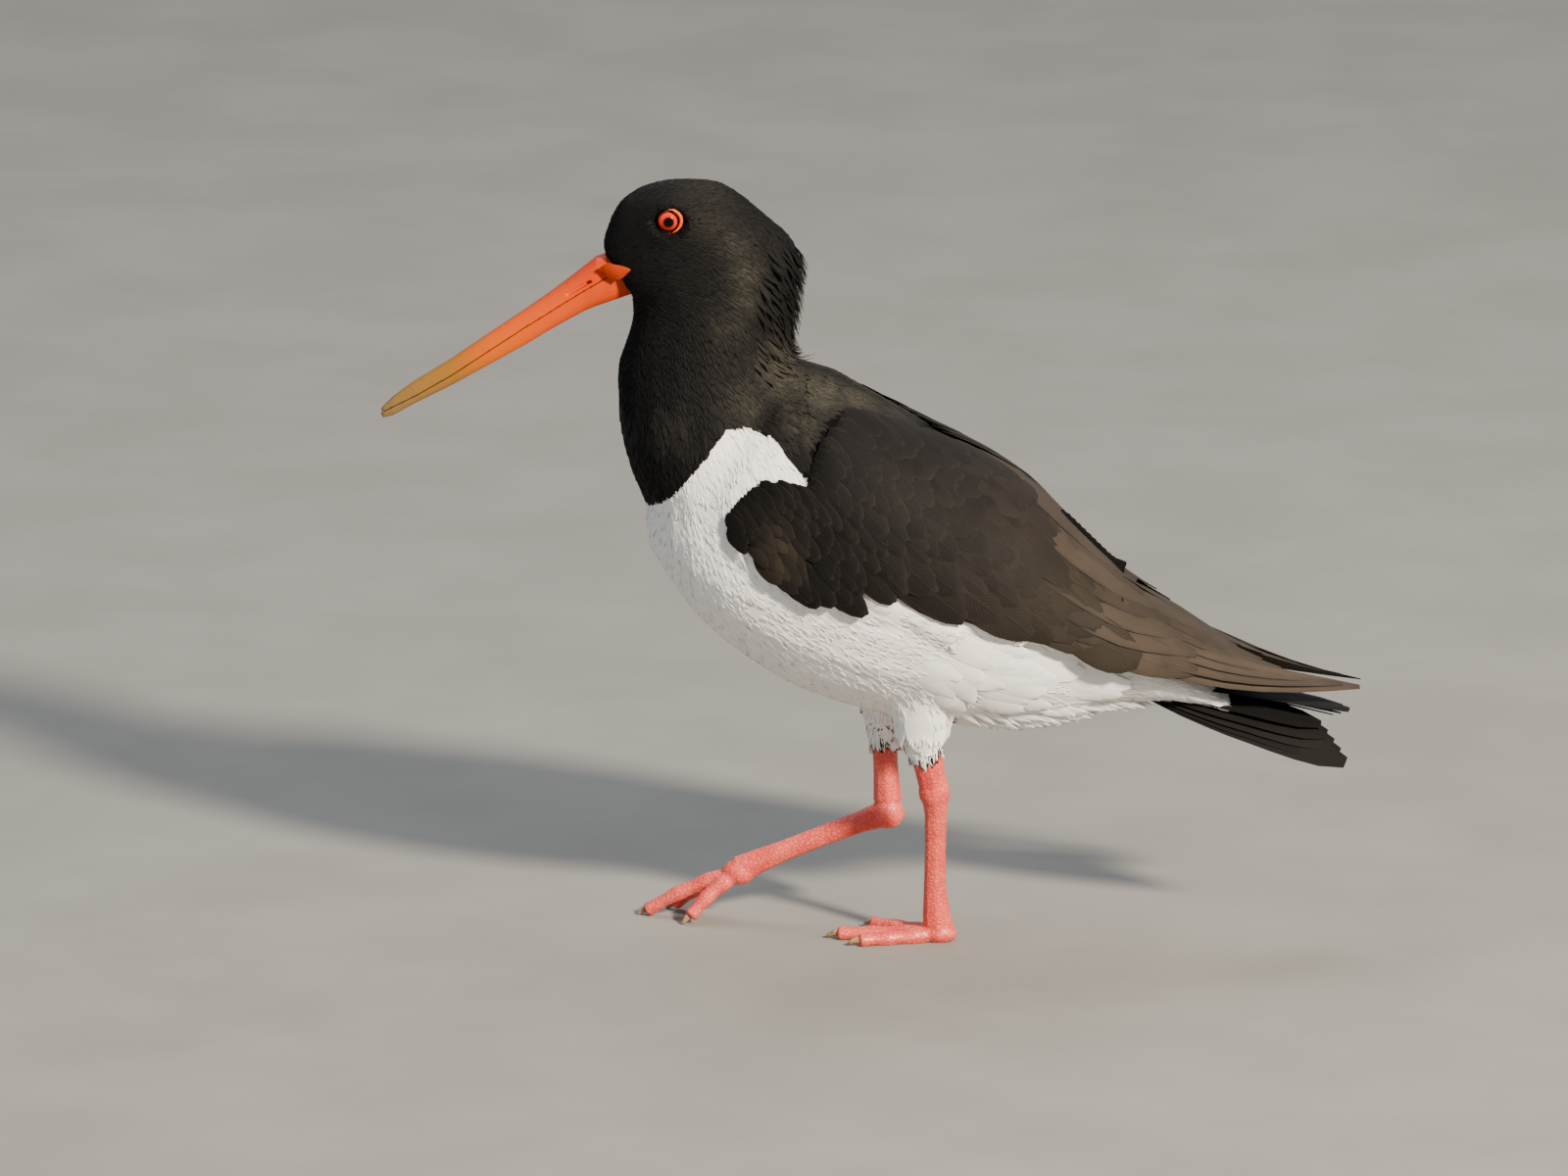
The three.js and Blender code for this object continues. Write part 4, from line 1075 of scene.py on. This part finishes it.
def eye_material(name, pupil):
    """A wet cornea over the iris, smooth from blinking. It gives a small sharp glint over a rayed red ring."""
    made, put = material(name, 0.08, 0.14)
    where = put("TexCoord", output="Object")
    gap = put("VectorMath", {0: put("NewGeometry"), 1: row(pupil).tolist()}, "Value", operation="DISTANCE")
    share = put("Math", {0: gap, 1: IRIS_REACH * MM}, operation="DIVIDE")
    rays = put("MapRange", between(put("TexNoise", patches(where, 0.625)), 0.35, 0.65, 0.8, 1.12), **SMOOTH)
    return surfaced(made, put, put("Mix", {0: 1.0, 6: put("ValToRGB", {0: share}, stops=IRIS), 7: rays}, **SHADED))


def ring_material(name):
    """Bare skin, grown in fine warts. It has a soft gleam over a pebbled orange rim."""
    made, put = material(name, 0.5, 0.2)
    warts = put("TexNoise", patches(put("TexCoord", output="Object"), 0.4545))
    share = put("MapRange", between(warts, 0.35, 0.7), **SMOOTH)
    shade = put("Mix", {0: share, 6: colour("dc4400"), 7: colour("f06808")}, **MIXED)
    return surfaced(made, put, shade, warts, 0.5, 0.25)


def build_eyes():
    """The eyeballs and the bare rings around them."""
    for side, word in SIDES:
        centre = EYE * (1, side, 1)
        iris = eye_material(f"wet_red_iris_and_cornea_{word}", centre + np.array([0.2, side * EYE_RADIUS, -0.3]))
        ball = sphere(f"eyeball_{word}", centre, EYE_RADIUS, (0.9, 1, 0.8))
        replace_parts(new_object(f"eyeball_{word}", ball, iris), f"eye_{word}")

        skin = ring_material(f"bare_orange_skin_of_eye_ring_{word}")
        ring = new_object(f"orbital_ring_{word}", own_mesh([f"eyelid_{word}"], 0.2, 2), skin)
        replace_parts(ring, f"eyelid_{word}")


build_eyes()


def leg_material():
    """Skin, grown in hard scales 1.6 mm wide with darker seams. It is satin and lets a little light through."""
    made, put = material("pink_scaled_skin_of_legs", 0.42, 0.45, 0, 0.05, 0.12)
    where = put("TexCoord", output="Object")
    cells = put("TexVoronoi", {"Vector": where, "Scale": 1000 / 1.613}, "Distance", feature="DISTANCE_TO_EDGE")
    scale = put("MapRange", between(cells, 0.02, 0.16), **SMOOTH)
    flush = put("MapRange", between(put("TexNoise", patches(where, 7.69)), 0.35, 0.7), **SMOOTH)
    pale = put("MapRange", between(put("TexNoise", patches(where, 2.38)), 0.6, 0.85), **SMOOTH)
    seam = put("Math", {0: put("Math", {0: 1.0, 1: scale}, **MINUS), 1: 0.4}, **TIMES)
    brown = put("MapRange", between(put("TexNoise", patches(where, 5.56, 5.0)), 0.66, 0.78), **SMOOTH)
    shade = put("Mix", {0: flush, 6: colour("ee6455"), 7: colour("e04c40")}, **MIXED)
    shade = put("Mix", {0: pale, 6: shade, 7: colour("f08a70")}, **MIXED)
    shade = put("Mix", {0: seam, 6: shade, 7: colour("a83c30")}, **MIXED)
    shade = put("Mix", {0: put("Math", {0: brown, 1: 0.55}, **TIMES), 6: shade, 7: colour("7c4234")}, **MIXED)
    return surfaced(made, put, shade, scale, 0.5, 0.3)


def claw_material():
    """Horn, grown in layers and worn by sand. It has a low gloss over clouded brown."""
    made, put = material("brown_horn_of_claws", 0.35, 0.5, 0, 0.1)
    clouds = put("TexNoise", patches(put("TexCoord", output="Object"), 2.0))
    share = put("MapRange", between(clouds, 0.3, 0.7), **SMOOTH)
    return surfaced(made, put, put("Mix", {0: share, 6: colour("a98a62"), 7: colour("7a6248")}, **MIXED))


def build_legs():
    """Each leg as one skin from shank to toes, with its three claws."""
    pink, horn = leg_material(), claw_material()
    for _, word in SIDES:
        names = [f"{part}_{word}" for part in ("shank", "tarsus", "foot")]
        leg = new_object(f"scaled_leg_{word}", own_mesh(names, 0.55, 4, 0.2), pink)
        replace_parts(leg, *names)
        for toe in ("inner", "middle", "outer"):
            node = f"claw_{word}_{toe}"
            claw = new_object(f"horn_{node}", own_mesh([node], 0.2, 3), horn)
            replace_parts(claw, node)


build_legs()

# Floor, light and camera


FLOOR_HALF = 5.0  # metres


def build_stage():
    """A floor of board, painted with a roller. It is matte and faintly clouded."""
    made, put = material("grey_painted_floor", 0.85, 0.2)
    clouds = put("TexNoise", patches(put("TexCoord", output="Object"), 83.3))
    share = put("MapRange", between(clouds, 0.3, 0.7), **SMOOTH)
    surfaced(made, put, put("Mix", {0: share, 6: colour("86837b"), 7: colour("8d8a82")}, **MIXED))
    mesh = bpy.data.meshes.new("floor")
    half = FLOOR_HALF
    mesh.from_pydata([(-half, -half, 0), (half, -half, 0), (half, half, 0), (-half, half, 0)], [], [(0, 1, 2, 3)])
    mesh.materials.append(made)
    mesh.polygons.foreach_set("use_smooth", np.ones(len(mesh.polygons), bool))
    floor = bpy.data.objects.new("floor", mesh)
    bpy.context.scene.collection.objects.link(floor)


build_stage()


def lamp(name, place, target, size, power, shade):
    """A round lamp of this size in metres and power in watts, turned to its target."""
    light = bpy.data.lights.new(name, "AREA")
    light.shape = "DISK"
    light.size = size
    light.energy = power
    light.color = colour(shade)[:3]
    obj = bpy.data.objects.new(name, light)
    obj.location = place
    obj.rotation_euler = (Vector(target) - Vector(place)).to_track_quat("-Z", "Y").to_euler()
    bpy.context.scene.collection.objects.link(obj)


# A warm low sun from behind on the near side, a faint cool fill in front, and light from above.
BODY_MIDDLE = row([0, 0, 150])
lamp("key", (1.8, -2.3, 1.9), BODY_MIDDLE, 0.4, 320, "fff2e0")
lamp("fill", (-1.8, -1.2, 1.1), BODY_MIDDLE, 1.6, 4, "c8dcff")
lamp("top", (-0.2, 0.9, 2.0), BODY_MIDDLE, 1.4, 26, "f4f7ff")

world = bpy.data.worlds.new("studio")
world.use_nodes = True
world.node_tree.nodes["Background"].inputs["Color"].default_value = colour("d3dff0")
world.node_tree.nodes["Background"].inputs["Strength"].default_value = 0.55
bpy.context.scene.world = world

SENSOR = 36.0


def build_camera():
    """The camera of the view, looking at its aim."""
    data = bpy.data.cameras.new("camera")
    data.sensor_width = SENSOR
    data.lens = SENSOR * VIEW_DISTANCE / VIEW_WIDTH
    data.clip_end = 100
    obj = bpy.data.objects.new("camera", data)
    away = VIEW_DISTANCE * MM * np.array([0, -math.cos(VIEW_DROP), math.sin(VIEW_DROP)])
    obj.location = row(VIEW_AIM) + away
    obj.rotation_euler = (math.pi / 2 - VIEW_DROP, 0, 0)
    bpy.context.scene.collection.objects.link(obj)
    bpy.context.scene.camera = obj


build_camera()
